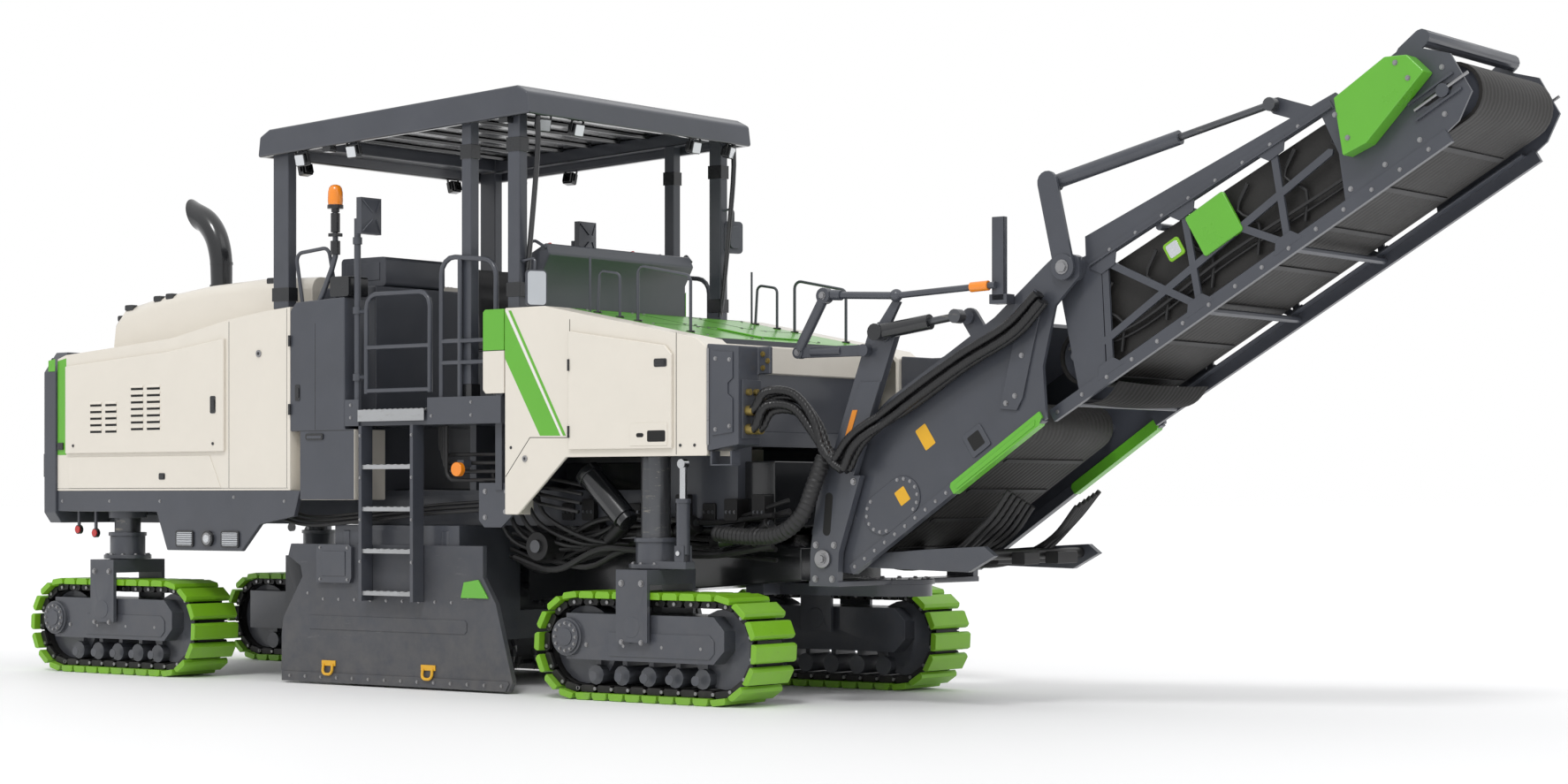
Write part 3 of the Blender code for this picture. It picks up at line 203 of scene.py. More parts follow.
def place_group(tree, group, place, **values):
    node = tree.nodes.new("ShaderNodeGroup")
    node.node_tree = group
    tree.links.new(place, node.inputs["Place"])
    for key, value in values.items():
        key = key.replace("_", " ")
        if isinstance(value, (int, float, tuple)):
            node.inputs[key].default_value = value
        else:
            tree.links.new(value, node.inputs[key])
    return node


def finish(name, colour, rough=0.4, metal=0.0, mottle=0.10, grain=(300.0, 0.05), dust=(1.2, 0.5), scuff=None,
           bare=(0.30, 0.29, 0.28), coat=0.0, relief=None):
    """A material with mottle, scuffs, dust and grain. scuff is (scale, amount); relief(tree, place) adds to the height."""
    made = bpy.data.materials.new(name)
    made.use_nodes = True
    tree = made.node_tree
    shader = tree.nodes["Principled BSDF"]
    place = tree.nodes.new("ShaderNodeTexCoord").outputs["Object"]
    tone = place_group(tree, MOTTLE, place, Colour=(*colour, 1.0), Amount=mottle)
    colour_now, mask_now = tone.outputs["Colour"], None
    if scuff:
        mask_now = place_group(tree, SCUFFS, place, Scale=scuff[0], Amount=scuff[1]).outputs["Mask"]
        colour_now = mix_colour(tree, mask_now, colour_now, (*bare, 1.0))
    dusty = place_group(tree, ROAD_DUST, place, Colour=colour_now, Height=dust[0], Amount=dust[1])
    tree.links.new(dusty.outputs["Colour"], shader.inputs["Base Color"])
    uneven = number(tree, "MULTIPLY_ADD", tone.outputs["Tone"], 0.25, rough - 0.12)
    tree.links.new(number(tree, "MULTIPLY_ADD", dusty.outputs["Mask"], 0.45, uneven), shader.inputs["Roughness"])
    shader.inputs["Metallic"].default_value = metal
    shader.inputs["Coat Weight"].default_value = coat
    shader.inputs["Coat Roughness"].default_value = 0.12
    height = place_group(tree, GRAIN, place, Scale=grain[0]).outputs["Height"]
    bump = add(tree, "ShaderNodeBump", Strength=grain[1], Distance=0.002)
    if relief:
        height = number(tree, "ADD", height, relief(tree, place))
    tree.links.new(height, bump.inputs["Height"])
    tree.links.new(bump.outputs["Normal"], shader.inputs["Normal"])
    return made


def stripes(direction, spacing, weight):
    """Raised lines across a direction of the surface, for belts, hoses and treads."""
    def relief(tree, place):
        wave = add(tree, "ShaderNodeTexWave", wave_type="BANDS", bands_direction=direction, Scale=0.314 / spacing,
                   Distortion=1.2, Detail=2.0)
        wave.inputs["Detail Scale"].default_value = 2.0
        tree.links.new(place, wave.inputs["Vector"])
        return number(tree, "MULTIPLY", wave.outputs["Fac"], weight)
    return relief


CREAM = finish("cream_paint", (0.735, 0.69, 0.61), 0.33, mottle=0.06, dust=(1.7, 0.16), coat=0.3)
GREEN = finish("stripe_green", (0.115, 0.42, 0.025), 0.30, mottle=0.10, dust=(1.5, 0.10), coat=0.35)
ANTHRACITE = finish("anthracite_paint", (0.052, 0.057, 0.071), 0.36, mottle=0.40, dust=(1.4, 0.16), scuff=(9.0, 0.08),
                    bare=(0.10, 0.10, 0.105), coat=0.3)
DARK_GLOSS = finish("black_gloss", (0.010, 0.011, 0.013), 0.22, mottle=0.6, dust=(1.0, 0.08), coat=0.5)
SCUFFED = finish("worn_plate", (0.058, 0.062, 0.074), 0.44, metal=0.1, mottle=0.55, dust=(0.9, 0.40), scuff=(7.0, 0.16),
                 bare=(0.15, 0.15, 0.155))
SHOE_GREEN = finish("shoe_green", (0.185, 0.44, 0.010), 0.36, mottle=0.30, grain=(160.0, 0.14), dust=(0.5, 0.30),
                    scuff=(12.0, 0.14), bare=(0.06, 0.11, 0.012))
CHAIN = finish("chain_steel", (0.014, 0.014, 0.015), 0.42, metal=0.4, mottle=0.7, dust=(0.7, 0.18))
RUBBER = finish("black_rubber", (0.012, 0.012, 0.013), 0.50, mottle=0.4, grain=(220.0, 0.15), dust=(1.2, 0.10))
BELT = finish("belt_rubber", (0.013, 0.012, 0.011), 0.58, mottle=0.9, grain=(60.0, 0.5), dust=(1.0, 0.10),
              relief=stripes("Y", 0.05, 2.5))
HOSE = finish("hose_rubber", (0.009, 0.009, 0.010), 0.30, mottle=0.4, grain=(150.0, 0.35), dust=(1.0, 0.05),
              relief=stripes("X", 0.016, 2.0))
STEEL = finish("bare_steel", (0.34, 0.34, 0.35), 0.32, metal=0.9, mottle=0.4, scuff=(14.0, 0.2), bare=(0.14, 0.13, 0.12))
DARK_STEEL = finish("dark_steel", (0.10, 0.105, 0.115), 0.30, metal=0.75, mottle=0.5, scuff=(14.0, 0.2), bare=(0.30, 0.28, 0.24))
CHROME = finish("chrome_rod", (0.62, 0.63, 0.64), 0.16, metal=1.0, mottle=0.10, grain=(500.0, 0.01), dust=(1.0, 0.10))
TREAD = finish("step_alloy", (0.44, 0.45, 0.46), 0.34, metal=0.7, mottle=0.3, grain=(90.0, 0.5), scuff=(20.0, 0.2))
VINYL = finish("seat_vinyl", (0.016, 0.016, 0.018), 0.44, mottle=0.25, grain=(420.0, 0.35), dust=(1.0, 0.05))
AMBER = finish("amber_lens", (0.90, 0.26, 0.010), 0.18, mottle=0.15, grain=(120.0, 0.25), dust=(1.0, 0.02), coat=0.6)
RED = finish("red_lens", (0.50, 0.010, 0.008), 0.2, mottle=0.12, grain=(140.0, 0.3), dust=(1.0, 0.02), coat=0.6)
LAMP = finish("lamp_glass", (0.62, 0.64, 0.66), 0.10, metal=0.5, mottle=0.25, grain=(60.0, 0.8), dust=(1.0, 0.02), coat=0.8)
MIRROR = finish("mirror_glass", (0.72, 0.75, 0.78), 0.12, metal=1.0, mottle=0.04, grain=(500.0, 0.0), dust=(1.0, 0.02))
# Painted shade: a near-black for slots, vents, openings, recesses, panel seams and the back of the grille, where shade
# falls; the console's screens take it as their own dark colour.
SHADE_AND_SCREEN_BLACK = finish("seam_shadow", (0.006, 0.006, 0.006), 0.7, mottle=0.1, grain=(300.0, 0.02), dust=(1.0, 0.02))
YELLOW = finish("yellow_marker", (0.78, 0.42, 0.015), 0.40, mottle=0.25, dust=(1.2, 0.15), scuff=(10.0, 0.10), bare=(0.10, 0.09, 0.06))
ORANGE = finish("orange_marker", (0.75, 0.25, 0.012), 0.40, mottle=0.2, dust=(1.2, 0.1), scuff=(10.0, 0.10), bare=(0.06, 0.06, 0.06))
WHITE = finish("pinstripe_white", (0.80, 0.80, 0.78), 0.35, mottle=0.04, dust=(1.5, 0.1), coat=0.2)
BRASS = finish("brass_fitting", (0.32, 0.24, 0.075), 0.35, metal=0.8, mottle=0.4, dust=(1.0, 0.1))


# ------------------------------------------------------------------ mesh tools

def add_box(bm, x, y, z):
    size = Matrix.Diagonal((abs(x[1] - x[0]), abs(y[1] - y[0]), abs(z[1] - z[0]), 1.0))
    middle = Matrix.Translation(((x[0] + x[1]) / 2, (y[0] + y[1]) / 2, (z[0] + z[1]) / 2))
    bmesh.ops.create_cube(bm, size=1.0, matrix=middle @ size)


def add_prism(bm, outline, across, along="Y"):
    place = {"X": lambda p, a: (a, p[0], p[1]), "Y": lambda p, a: (p[0], a, p[1]), "Z": lambda p, a: (p[0], p[1], a)}[along]
    rings = [[bm.verts.new(place(p, a)) for p in outline] for a in sorted(across)]
    made = []
    for i in range(len(outline)):
        j = (i + 1) % len(outline)
        made.append(bm.faces.new((rings[0][i], rings[0][j], rings[1][j], rings[1][i])))
    made += [bm.faces.new(rings[0]), bm.faces.new(rings[1])]
    bmesh.ops.recalc_face_normals(bm, faces=made)


def add_rod(bm, start, end, radius, sides=16, tip=None):
    start, end = Vector(start), Vector(end)
    turn = (end - start).to_track_quat("Z", "Y").to_matrix().to_4x4()
    bmesh.ops.create_cone(bm, cap_ends=True, segments=sides, radius1=radius, radius2=radius if tip is None else tip,
                          depth=(end - start).length, matrix=Matrix.Translation((start + end) / 2) @ turn)


def add_disc(bm, centre, radius, width, sides=24, along="Y"):
    step = {"X": Vector((1, 0, 0)), "Y": Vector((0, 1, 0)), "Z": Vector((0, 0, 1))}[along] * width / 2
    add_rod(bm, Vector(centre) - step, Vector(centre) + step, radius, sides)


def add_bolt(bm, place, out, radius=0.012, height=0.008):
    """A washer and a six-sided head standing out of a face."""
    place, out = Vector(place), Vector(out).normalized()
    add_rod(bm, place, place + out * height * 0.3, radius * 1.35, 12)
    add_rod(bm, place, place + out * height, radius, 6)


def smooth_path(points, step=0.03, tension=0.5):
    """A Catmull-Rom line through the points."""
    points = [Vector(p) for p in points]
    ends = [points[0] * 2 - points[1]] + points + [points[-1] * 2 - points[-2]]
    path = []
    for a, b, c, d in zip(ends, ends[1:], ends[2:], ends[3:]):
        count = max(2, int((c - b).length / step))
        for k in range(count):
            t = k / count
            path.append(0.5 * ((2 * b) + (c - a) * t + (2 * a - 5 * b + 4 * c - d) * t * t
                               + (3 * b - 3 * c + d - a) * t ** 3))
    return path + [points[-1]]


def cornered(points, radius, steps=5):
    """A bent tube's centre line, with each corner an arc."""
    points = [Vector(p) for p in points]
    path = [points[0]]
    for before, corner, after in zip(points, points[1:], points[2:]):
        into, out = (before - corner).normalized(), (after - corner).normalized()
        half = into.angle(out) / 2
        reach = min(radius / tan(half), (before - corner).length * 0.48, (after - corner).length * 0.48)
        bend = reach * tan(half)
        centre = corner + (into + out).normalized() * (bend / sin(half))
        first = (corner + into * reach - centre).normalized()
        last = (corner + out * reach - centre).normalized()
        path += [centre + first.slerp(last, k / steps) * bend for k in range(steps + 1)]
    return path + [points[-1]]


def add_tube(bm, points, radius, sides=10, ripple=None):
    """A round bar along the points. ripple is (depth, pitch) for a corrugated or wrapped hose."""
    points = [Vector(p) for p in points]
    rings, across, run_length = [], None, 0.0
    for i, point in enumerate(points):
        before = points[i] - points[i - 1] if i else points[1] - points[0]
        after = points[i + 1] - points[i] if i + 1 < len(points) else before
        run = (before.normalized() + after.normalized()).normalized()
        run_length += before.length if i else 0.0
        across = run.orthogonal().normalized() if across is None else (across - run * across.dot(run)).normalized()
        up = run.cross(across)
        size = radius
        if ripple:
            size *= 1.0 - ripple[0] * (0.5 + 0.5 * cos(2 * pi * run_length / ripple[1]))
        rings.append([bm.verts.new(point + (across * cos(2 * pi * k / sides) + up * sin(2 * pi * k / sides)) * size)
                      for k in range(sides)])
    for ring, following in zip(rings, rings[1:]):
        for k in range(sides):
            n = (k + 1) % sides
            bm.faces.new((ring[k], following[k], following[n], ring[n]))
    bm.faces.new(rings[0])
    bm.faces.new(reversed(rings[-1]))


def oblong(start, end, radius, steps=8):
    turn = atan2(end[1] - start[1], end[0] - start[0])
    points = []
    for (x, z), begin in ((end, turn - pi / 2), (start, turn + pi / 2)):
        points += [(x + radius * cos(begin + pi * k / steps), z + radius * sin(begin + pi * k / steps))
                   for k in range(steps + 1)]
    return points


def rounded_rect(x, z, radius, steps=4):
    points = []
    for cx, cz, begin in ((x[1] - radius, z[0] + radius, -pi / 2), (x[1] - radius, z[1] - radius, 0.0),
                          (x[0] + radius, z[1] - radius, pi / 2), (x[0] + radius, z[0] + radius, pi)):
        points += [(cx + radius * cos(begin + pi / 2 * k / steps), cz + radius * sin(begin + pi / 2 * k / steps))
                   for k in range(steps + 1)]
    return points


def piece(name, bm, material, body, place=DATUM, bevel=0.0, segments=2, angle=35.0):
    """Turns bm into a named piece on a body. A piece that spans two bodies is given none and stays unattached."""
    bmesh.ops.transform(bm, matrix=place, verts=bm.verts)
    mesh = bpy.data.meshes.new(name)
    bm.to_mesh(mesh)
    bm.free()
    made = bpy.data.objects.new(name, mesh)
    bpy.context.scene.collection.objects.link(made)
    for each in material if isinstance(material, (list, tuple)) else [material]:
        mesh.materials.append(each)
    if bevel:
        step = made.modifiers.new("Rounding", "BEVEL")
        step.width, step.segments, step.limit_method, step.angle_limit = bevel, segments, "ANGLE", radians(30)
        step.harden_normals = True
    mesh.shade_smooth()
    mesh.set_sharp_from_angle(angle=radians(angle))
    if body:
        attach(made, body)
    return made


def softened(node, material, bevel=0.006, segments=2, choose=None):
    """A copy of a CAD node with eased edges, which stands for it. choose(centre) gives each face its material."""
    source = frame["nodes"][node]
    bm = bmesh.new()
    bm.from_mesh(source.data)
    bmesh.ops.remove_doubles(bm, verts=bm.verts, dist=2e-5)
    bmesh.ops.dissolve_limit(bm, angle_limit=radians(0.6), verts=bm.verts, edges=bm.edges)
    if choose:
        for face in bm.faces:
            centre = face.calc_center_median()
            face.material_index = choose(Vector((centre.x - DATUM_X, centre.y, centre.z)), face.normal)
    made = piece(f"{node}_shell", bm, material, BODY_OF[node], Matrix.Identity(4), bevel, segments)
    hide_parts(node)
    return made


def mirrored(points, side):
    return [(x, side * y, z) for x, y, z in points]


# ------------------------------------------------------------------ shells over the CAD pieces

# The canopy roof's downward faces over the cab take the near-black gloss instead of anthracite: painted shade under the
# roof.
def under_roof(centre, normal):
    return 1 if normal.z < -0.5 and abs(centre.y) < 1.18 and -0.98 < centre.x < 1.61 else 0


def column_above(centre, normal):
    return 1 if centre.z > 1.10 else 0


def deck_front(centre, normal):
    return 1 if normal.x > 0.7 or normal.z < -0.5 or abs(normal.y) > 0.7 else 0


def low_cabinet(centre, normal):
    return 1 if centre.z < 1.845 and centre.y ** 2 > 1.0 and -0.605 < centre.x < -0.035 else 0


def rungs(centre, normal):
    return 1 if 0.052 < centre.x < 0.528 else 0


PLAIN = [
    ("engine_block", CHAIN, 0.012), ("rear_body", CREAM, 0.008), ("rear_frame", ANTHRACITE, 0.008),
    ("engine_hood", CREAM, 0.006), ("hydraulic_tank", ANTHRACITE, 0.012),
    ("drum_housing", ANTHRACITE, 0.006), ("milling_drum", SCUFFED, 0.004), ("scraper_blade", SCUFFED, 0.004),
    ("platform", ANTHRACITE, 0.005), ("console", ANTHRACITE, 0.016),
    ("canopy_frame", ANTHRACITE, 0.008), ("conveyor_mount", ANTHRACITE, 0.006), ("lower_conveyor", ANTHRACITE, 0.004),
    ("upper_conveyor", ANTHRACITE, 0.003), ("lower_belt", BELT, 0.0), ("upper_belt", BELT, 0.0),
    ("head_cover", GREEN, 0.008), ("fold_lever", ANTHRACITE, 0.005), ("fold_barrel", ANTHRACITE, 0.004),
    ("fold_rod", DARK_STEEL, 0.003), ("main_frame", ANTHRACITE, 0.006),
]
for side, _ in SIDES:
    PLAIN += [(f"skirt_{side}", ANTHRACITE, 0.006), (f"rear_door_{side}", CREAM, 0.007), (f"handrail_{side}", ANTHRACITE, 0.0),
              (f"gate_{side}", ANTHRACITE, 0.0), (f"front_body_{side}", CREAM, 0.010), (f"front_door_{side}", CREAM, 0.007),
              (f"front_panel_{side}", ANTHRACITE, 0.010), (f"side_plate_{side}", SCUFFED, 0.004),
              (f"luff_{side}_barrel", DARK_GLOSS, 0.004), (f"luff_{side}_rod", DARK_STEEL, 0.003)]
for node, material, bevel in PLAIN:
    softened(node, material, bevel)
# the roof's underside in near-black gloss is painted shade
softened("canopy_roof", (ANTHRACITE, DARK_GLOSS), 0.018, 3, under_roof)
softened("front_deck", (GREEN, ANTHRACITE), 0.010, 2, deck_front)
for side, _ in SIDES:
    softened(f"side_cabinet_{side}", (ANTHRACITE, CREAM), 0.010, 2, low_cabinet)
    softened(f"ladder_{side}", (ANTHRACITE, TREAD), 0.004, 2, rungs)
    for end in ("front", "rear"):
        softened(f"{side}_{end}_track_frame", (ANTHRACITE, DARK_STEEL), 0.006, 2, column_above)


# ------------------------------------------------------------------ crawler tracks

SHOE_COUNT, CHAIN_REACH, TRACK_RADIUS = 30, 0.595, 0.365


def on_track(distance, radius):
    """The place and outward angle at a distance round an oblong of that radius, about the track's middle."""
    straight, arc = 2 * CHAIN_REACH, pi * radius
    distance %= 2 * (straight + arc)
    if distance < straight:
        return Vector((-CHAIN_REACH + distance, -radius)), -pi / 2
    if distance < straight + arc:
        turn = -pi / 2 + (distance - straight) / radius
        return Vector((CHAIN_REACH + radius * cos(turn), radius * sin(turn))), turn
    if distance < 2 * straight + arc:
        return Vector((CHAIN_REACH - (distance - straight - arc), radius)), pi / 2
    turn = pi / 2 + (distance - 2 * straight - arc) / radius
    return Vector((-CHAIN_REACH + radius * cos(turn), radius * sin(turn))), turn


def track_shoes(side, sign, end, x):
    body = f"track_{side}_{end}"
    inner = TRACK_RADIUS - 0.052
    pitch = 2 * (2 * CHAIN_REACH + pi * inner) / SHOE_COUNT
    shoes, links, pins = bmesh.new(), bmesh.new(), bmesh.new()
    place = DATUM @ Matrix.Translation((x, sign * 1.02, TRACK_RADIUS))
    for k in range(SHOE_COUNT):
        spot, turn = on_track((k + 0.5) * pitch, inner)
        flat = abs(abs(turn) - pi / 2) < 0.02
        thick = 0.0515 if flat else 0.0480
        along, out = Vector((-sin(turn), cos(turn))), Vector((cos(turn), sin(turn)))
        half = 0.0625
        outline = [(-half, 0.004), (-half, thick - 0.020), (-half + 0.014, thick), (half - 0.014, thick),
                   (half, thick - 0.020), (half, 0.004)]
        at = lambda a, b: tuple(spot + along * a + out * b)
        add_prism(shoes, [at(a, b) for a, b in outline], (-0.2185, 0.2185))
        add_prism(links, [at(a, b) for a, b in [(-0.052, -0.045), (-0.066, -0.02), (-0.052, 0.003), (0.052, 0.003),
                                                (0.066, -0.02), (0.052, -0.045)]], (-0.165, -0.135))
        add_prism(links, [at(a, b) for a, b in [(-0.052, -0.045), (-0.066, -0.02), (-0.052, 0.003), (0.052, 0.003),
                                                (0.066, -0.02), (0.052, -0.045)]], (0.135, 0.165))
        spot, turn = on_track(k * pitch, inner - 0.022)
        add_rod(pins, (spot.x, -0.175, spot.y), (spot.x, 0.175, spot.y), 0.013, 8)
    ring = [tuple(on_track(k * 0.05, inner - 0.003)[0]) for k in range(int(2 * (2 * CHAIN_REACH + pi * inner) / 0.05))]
    hollow = [tuple(on_track(k * 0.05, inner - 0.045)[0]) for k in range(int(2 * (2 * CHAIN_REACH + pi * (inner - 0.045)) / 0.05))]
    band = bmesh.new()
    for outline in (ring, hollow):
        rows = [[band.verts.new((a, y, b)) for a, b in outline] for y in (-0.13, 0.13)]
        for i in range(len(outline)):
            j = (i + 1) % len(outline)
            band.faces.new((rows[0][i], rows[0][j], rows[1][j], rows[1][i]))
    bmesh.ops.recalc_face_normals(band, faces=band.faces)
    made = piece(f"{body}_shoes", shoes, SHOE_GREEN, body, place, 0.004)
    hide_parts(f"{side}_{end}_track")
    piece(f"{body}_links", links, CHAIN, body, place, 0.004)
    piece(f"{body}_pins", pins, STEEL, body, place)
    piece(f"{body}_chain", band, CHAIN, body, place)


def track_details(side, sign, end, x):
    """Hub cover, bolts and the lifting cylinder of one track unit."""
    body = f"track_{side}_{end}"
    column = x - 0.06
    hub_x, hub_y = column - 0.60, 1.2445
    dark, bolts, bright = bmesh.new(), bmesh.new(), bmesh.new()
    add_disc(dark, (hub_x, sign * (hub_y + 0.006), 0.42), 0.112, 0.012, 32)
    add_disc(dark, (hub_x, sign * (hub_y + 0.013), 0.42), 0.060, 0.012, 24)
    for k in range(12):
        turn = 2 * pi * k / 12
        add_bolt(bolts, (hub_x + 0.092 * cos(turn), sign * (hub_y + 0.012), 0.42 + 0.092 * sin(turn)), (0, sign, 0), 0.009, 0.010)
    for k in range(2):
        add_bolt(bolts, (column - 0.085 + 0.17 * k, sign * 1.275, 0.79), (0, sign, 0), 0.017, 0.014)
        add_bolt(bolts, (column - 0.085 + 0.17 * k, sign * 1.275, 0.40), (0, sign, 0), 0.014, 0.012)
    for k in range(10):
        turn = 2 * pi * (k + 0.5) / 10
        add_bolt(bolts, (column + 0.158 * cos(turn), sign * 1.02 + 0.158 * sin(turn), 0.915), (0, 0, 1), 0.012, 0.012)
    add_disc(dark, (column, sign * 1.02, 0.9), 0.182, 0.03, 40, "Z")
    add_disc(dark, (column, sign * 1.02, 1.075), 0.146, 0.028, 40, "Z")
    for k in range(5):
        add_disc(dark, (x - 0.44 + 0.22 * k, sign * 1.2215, 0.16), 0.034, 0.006, 16)
    for k in range(4):
        add_bolt(bolts, (x - 0.50 + 0.33 * k, sign * 1.2205, 0.37), (0, sign, 0), 0.012, 0.008)
    add_prism(dark, [(x - 0.30, 0.30), (x + 0.56, 0.30), (x + 0.60, 0.34), (x + 0.60, 0.42), (x + 0.56, 0.46), (x - 0.30, 0.46)],
              sorted((sign * 1.2205, sign * 1.2265)))
    if end == "front":
        cx, cy = column + 0.30, sign * 1.10
        add_box(dark, (column + 0.10, cx + 0.06), (cy - 0.05, cy + 0.05), (0.885, 0.935))
        for y in (-0.045, 0.03):
            add_box(dark, (cx - 0.04, cx + 0.04), (cy + y, cy + y + 0.015), (0.93, 1.04))
        add_rod(dark, (cx, cy, 0.98), (cx, cy, 1.34), 0.046, 20)
        add_disc(dark, (cx, cy, 1.335), 0.052, 0.03, 20, "Z")
        add_rod(bright, (cx, cy, 1.34), (cx, cy, 1.56), 0.026, 20)
        add_disc(bright, (cx, cy, 1.58), 0.032, 0.05, 16)
        add_rod(bright, (cx, cy - 0.06, 0.99), (cx, cy + 0.06, 0.99), 0.016, 12)
    piece(f"{body}_covers", dark, ANTHRACITE, body, bevel=0.003)
    piece(f"{body}_bolts", bolts, STEEL, body)
    if bright.verts:
        piece(f"{body}_cylinder_rod", bright, CHROME, body)
    else:
        bright.free()


for side, sign in SIDES:
    for end, x in (("front", 2.665), ("rear", -2.665)):
        track_shoes(side, sign, end, x)
        track_details(side, sign, end, x)


# ------------------------------------------------------------------ milling drum and side plates

def milling_tools():
    """Point-attack tools in two scrolls that meet in the middle."""
    holders, tips = bmesh.new(), bmesh.new()
    for row in range(26):
        y = -0.96 + 1.92 * row / 25
        for k in range(5):
            turn = 2 * pi * k / 5 + abs(y) * 3.4
            out, ahead = Vector((cos(turn), 0, sin(turn))), Vector((sin(turn), 0, -cos(turn)))
            foot = Vector((0.22, y, 0.56)) + out * 0.415
            lean = (out * 0.8 + ahead * 0.6).normalized()
            add_rod(holders, foot, foot + lean * 0.055, 0.026, 8, 0.020)
            add_rod(tips, foot + lean * 0.055, foot + lean * 0.098, 0.013, 8, 0.003)
    piece("drum_tool_holders", holders, SCUFFED, "drum")
    piece("drum_tool_tips", tips, STEEL, "drum")


def edge_plate_details(side, sign):
    body = f"edge_plate_{side}"
    face = 1.117
    near = lambda a, b: sorted((sign * (face + a), sign * (face + b)))
    dark, bolts, hooks, green, worn = (bmesh.new() for _ in range(5))
    add_prism(dark, [(-0.50, 0.74), (-0.16, 0.74), (-0.14, 0.78), (-0.14, 1.00), (-0.17, 1.02), (-0.47, 1.02), (-0.50, 0.99)],
              near(0.0, 0.034))
    add_box(dark, (-0.44, -0.20), near(0.034, 0.040), (0.79, 0.97))
    add_prism(worn, [(-0.88, 0.014), (1.34, 0.014), (1.375, 0.07), (1.36, 0.085), (-0.88, 0.085)], near(0.0, 0.010))
    add_prism(worn, [(-0.60, 0.40), (0.95, 0.40), (0.97, 0.42), (0.97, 0.48), (0.95, 0.50), (-0.60, 0.50)], near(0.0, 0.006))
    for k in range(14):
        add_bolt(bolts, (-0.80 + 0.162 * k, sign * (face + 0.010), 0.052), (0, sign, 0), 0.010, 0.008)
    for k in range(11):
        add_bolt(bolts, (-0.62 + 0.16 * k, sign * face, 0.62 if 0 < k < 10 else 0.66), (0, sign, 0), 0.009, 0.007)
    for x in (-0.46, -0.18):
        for z in (0.765, 0.995):
            add_bolt(bolts, (x, sign * (face + 0.034), z), (0, sign, 0), 0.009, 0.007)
    for x in (-0.40, 0.60):
        loop = cornered([(x - 0.045, sign * (face + 0.012), 0.15), (x - 0.05, sign * (face + 0.022), 0.075),
                         (x + 0.05, sign * (face + 0.022), 0.075), (x + 0.045, sign * (face + 0.012), 0.15)], 0.035)
        add_tube(hooks, loop, 0.011, 10)
        add_box(hooks, (x - 0.07, x + 0.07), near(0.0, 0.010), (0.135, 0.175))
    add_prism(green, [(0.92, 0.655), (1.18, 0.655), (1.085, 0.785), (0.95, 0.765)], near(0.0, 0.014))
    for name, bm, material in (("guide_box", dark, ANTHRACITE), ("wear_strips", worn, SCUFFED), ("bolts", bolts, STEEL),
                               ("tie_hooks", hooks, YELLOW), ("wedge", green, GREEN)):
        piece(f"{body}_{name}", bm, material, body, bevel=0.003 if name != "bolts" else 0)


milling_tools()
for side, sign in SIDES:
    edge_plate_details(side, sign)


# ------------------------------------------------------------------ rear body

def louvre_bank(dark, scoops, columns, rows, z, face, sign):
    """Pressed louvres: a hooded lip over a slot drawn as a near-black box of painted shade."""
    step = (z[1] - z[0]) / rows
    for x0, x1 in columns:
        for k in range(rows):
            low = z[0] + k * step + step * 0.2
            y = lambda a: sign * (face + a)
            add_prism(scoops, [(y(-0.001), low + 0.002), (y(0.011), low + 0.003), (y(0.012), low + 0.008), (y(-0.001), low + 0.026)],
                      (x0, x1), "X")
            add_box(dark, (x0 + 0.002, x1 - 0.002), sorted((y(-0.002), y(0.0014))), (low - 0.014, low + 0.003))


def latch(bm, x, z, face, sign, width=0.10, height=0.05):
    """A flush paddle latch."""
    y = lambda a, b: sorted((sign * (face + a), sign * (face + b)))
    add_prism(bm, rounded_rect((x - width / 2, x + width / 2), (z - height / 2, z + height / 2), 0.012), y(0.0, 0.004))
    add_prism(bm, rounded_rect((x - width * 0.36, x + width * 0.36), (z - height * 0.30, z + height * 0.30), 0.008), y(0.004, 0.009))


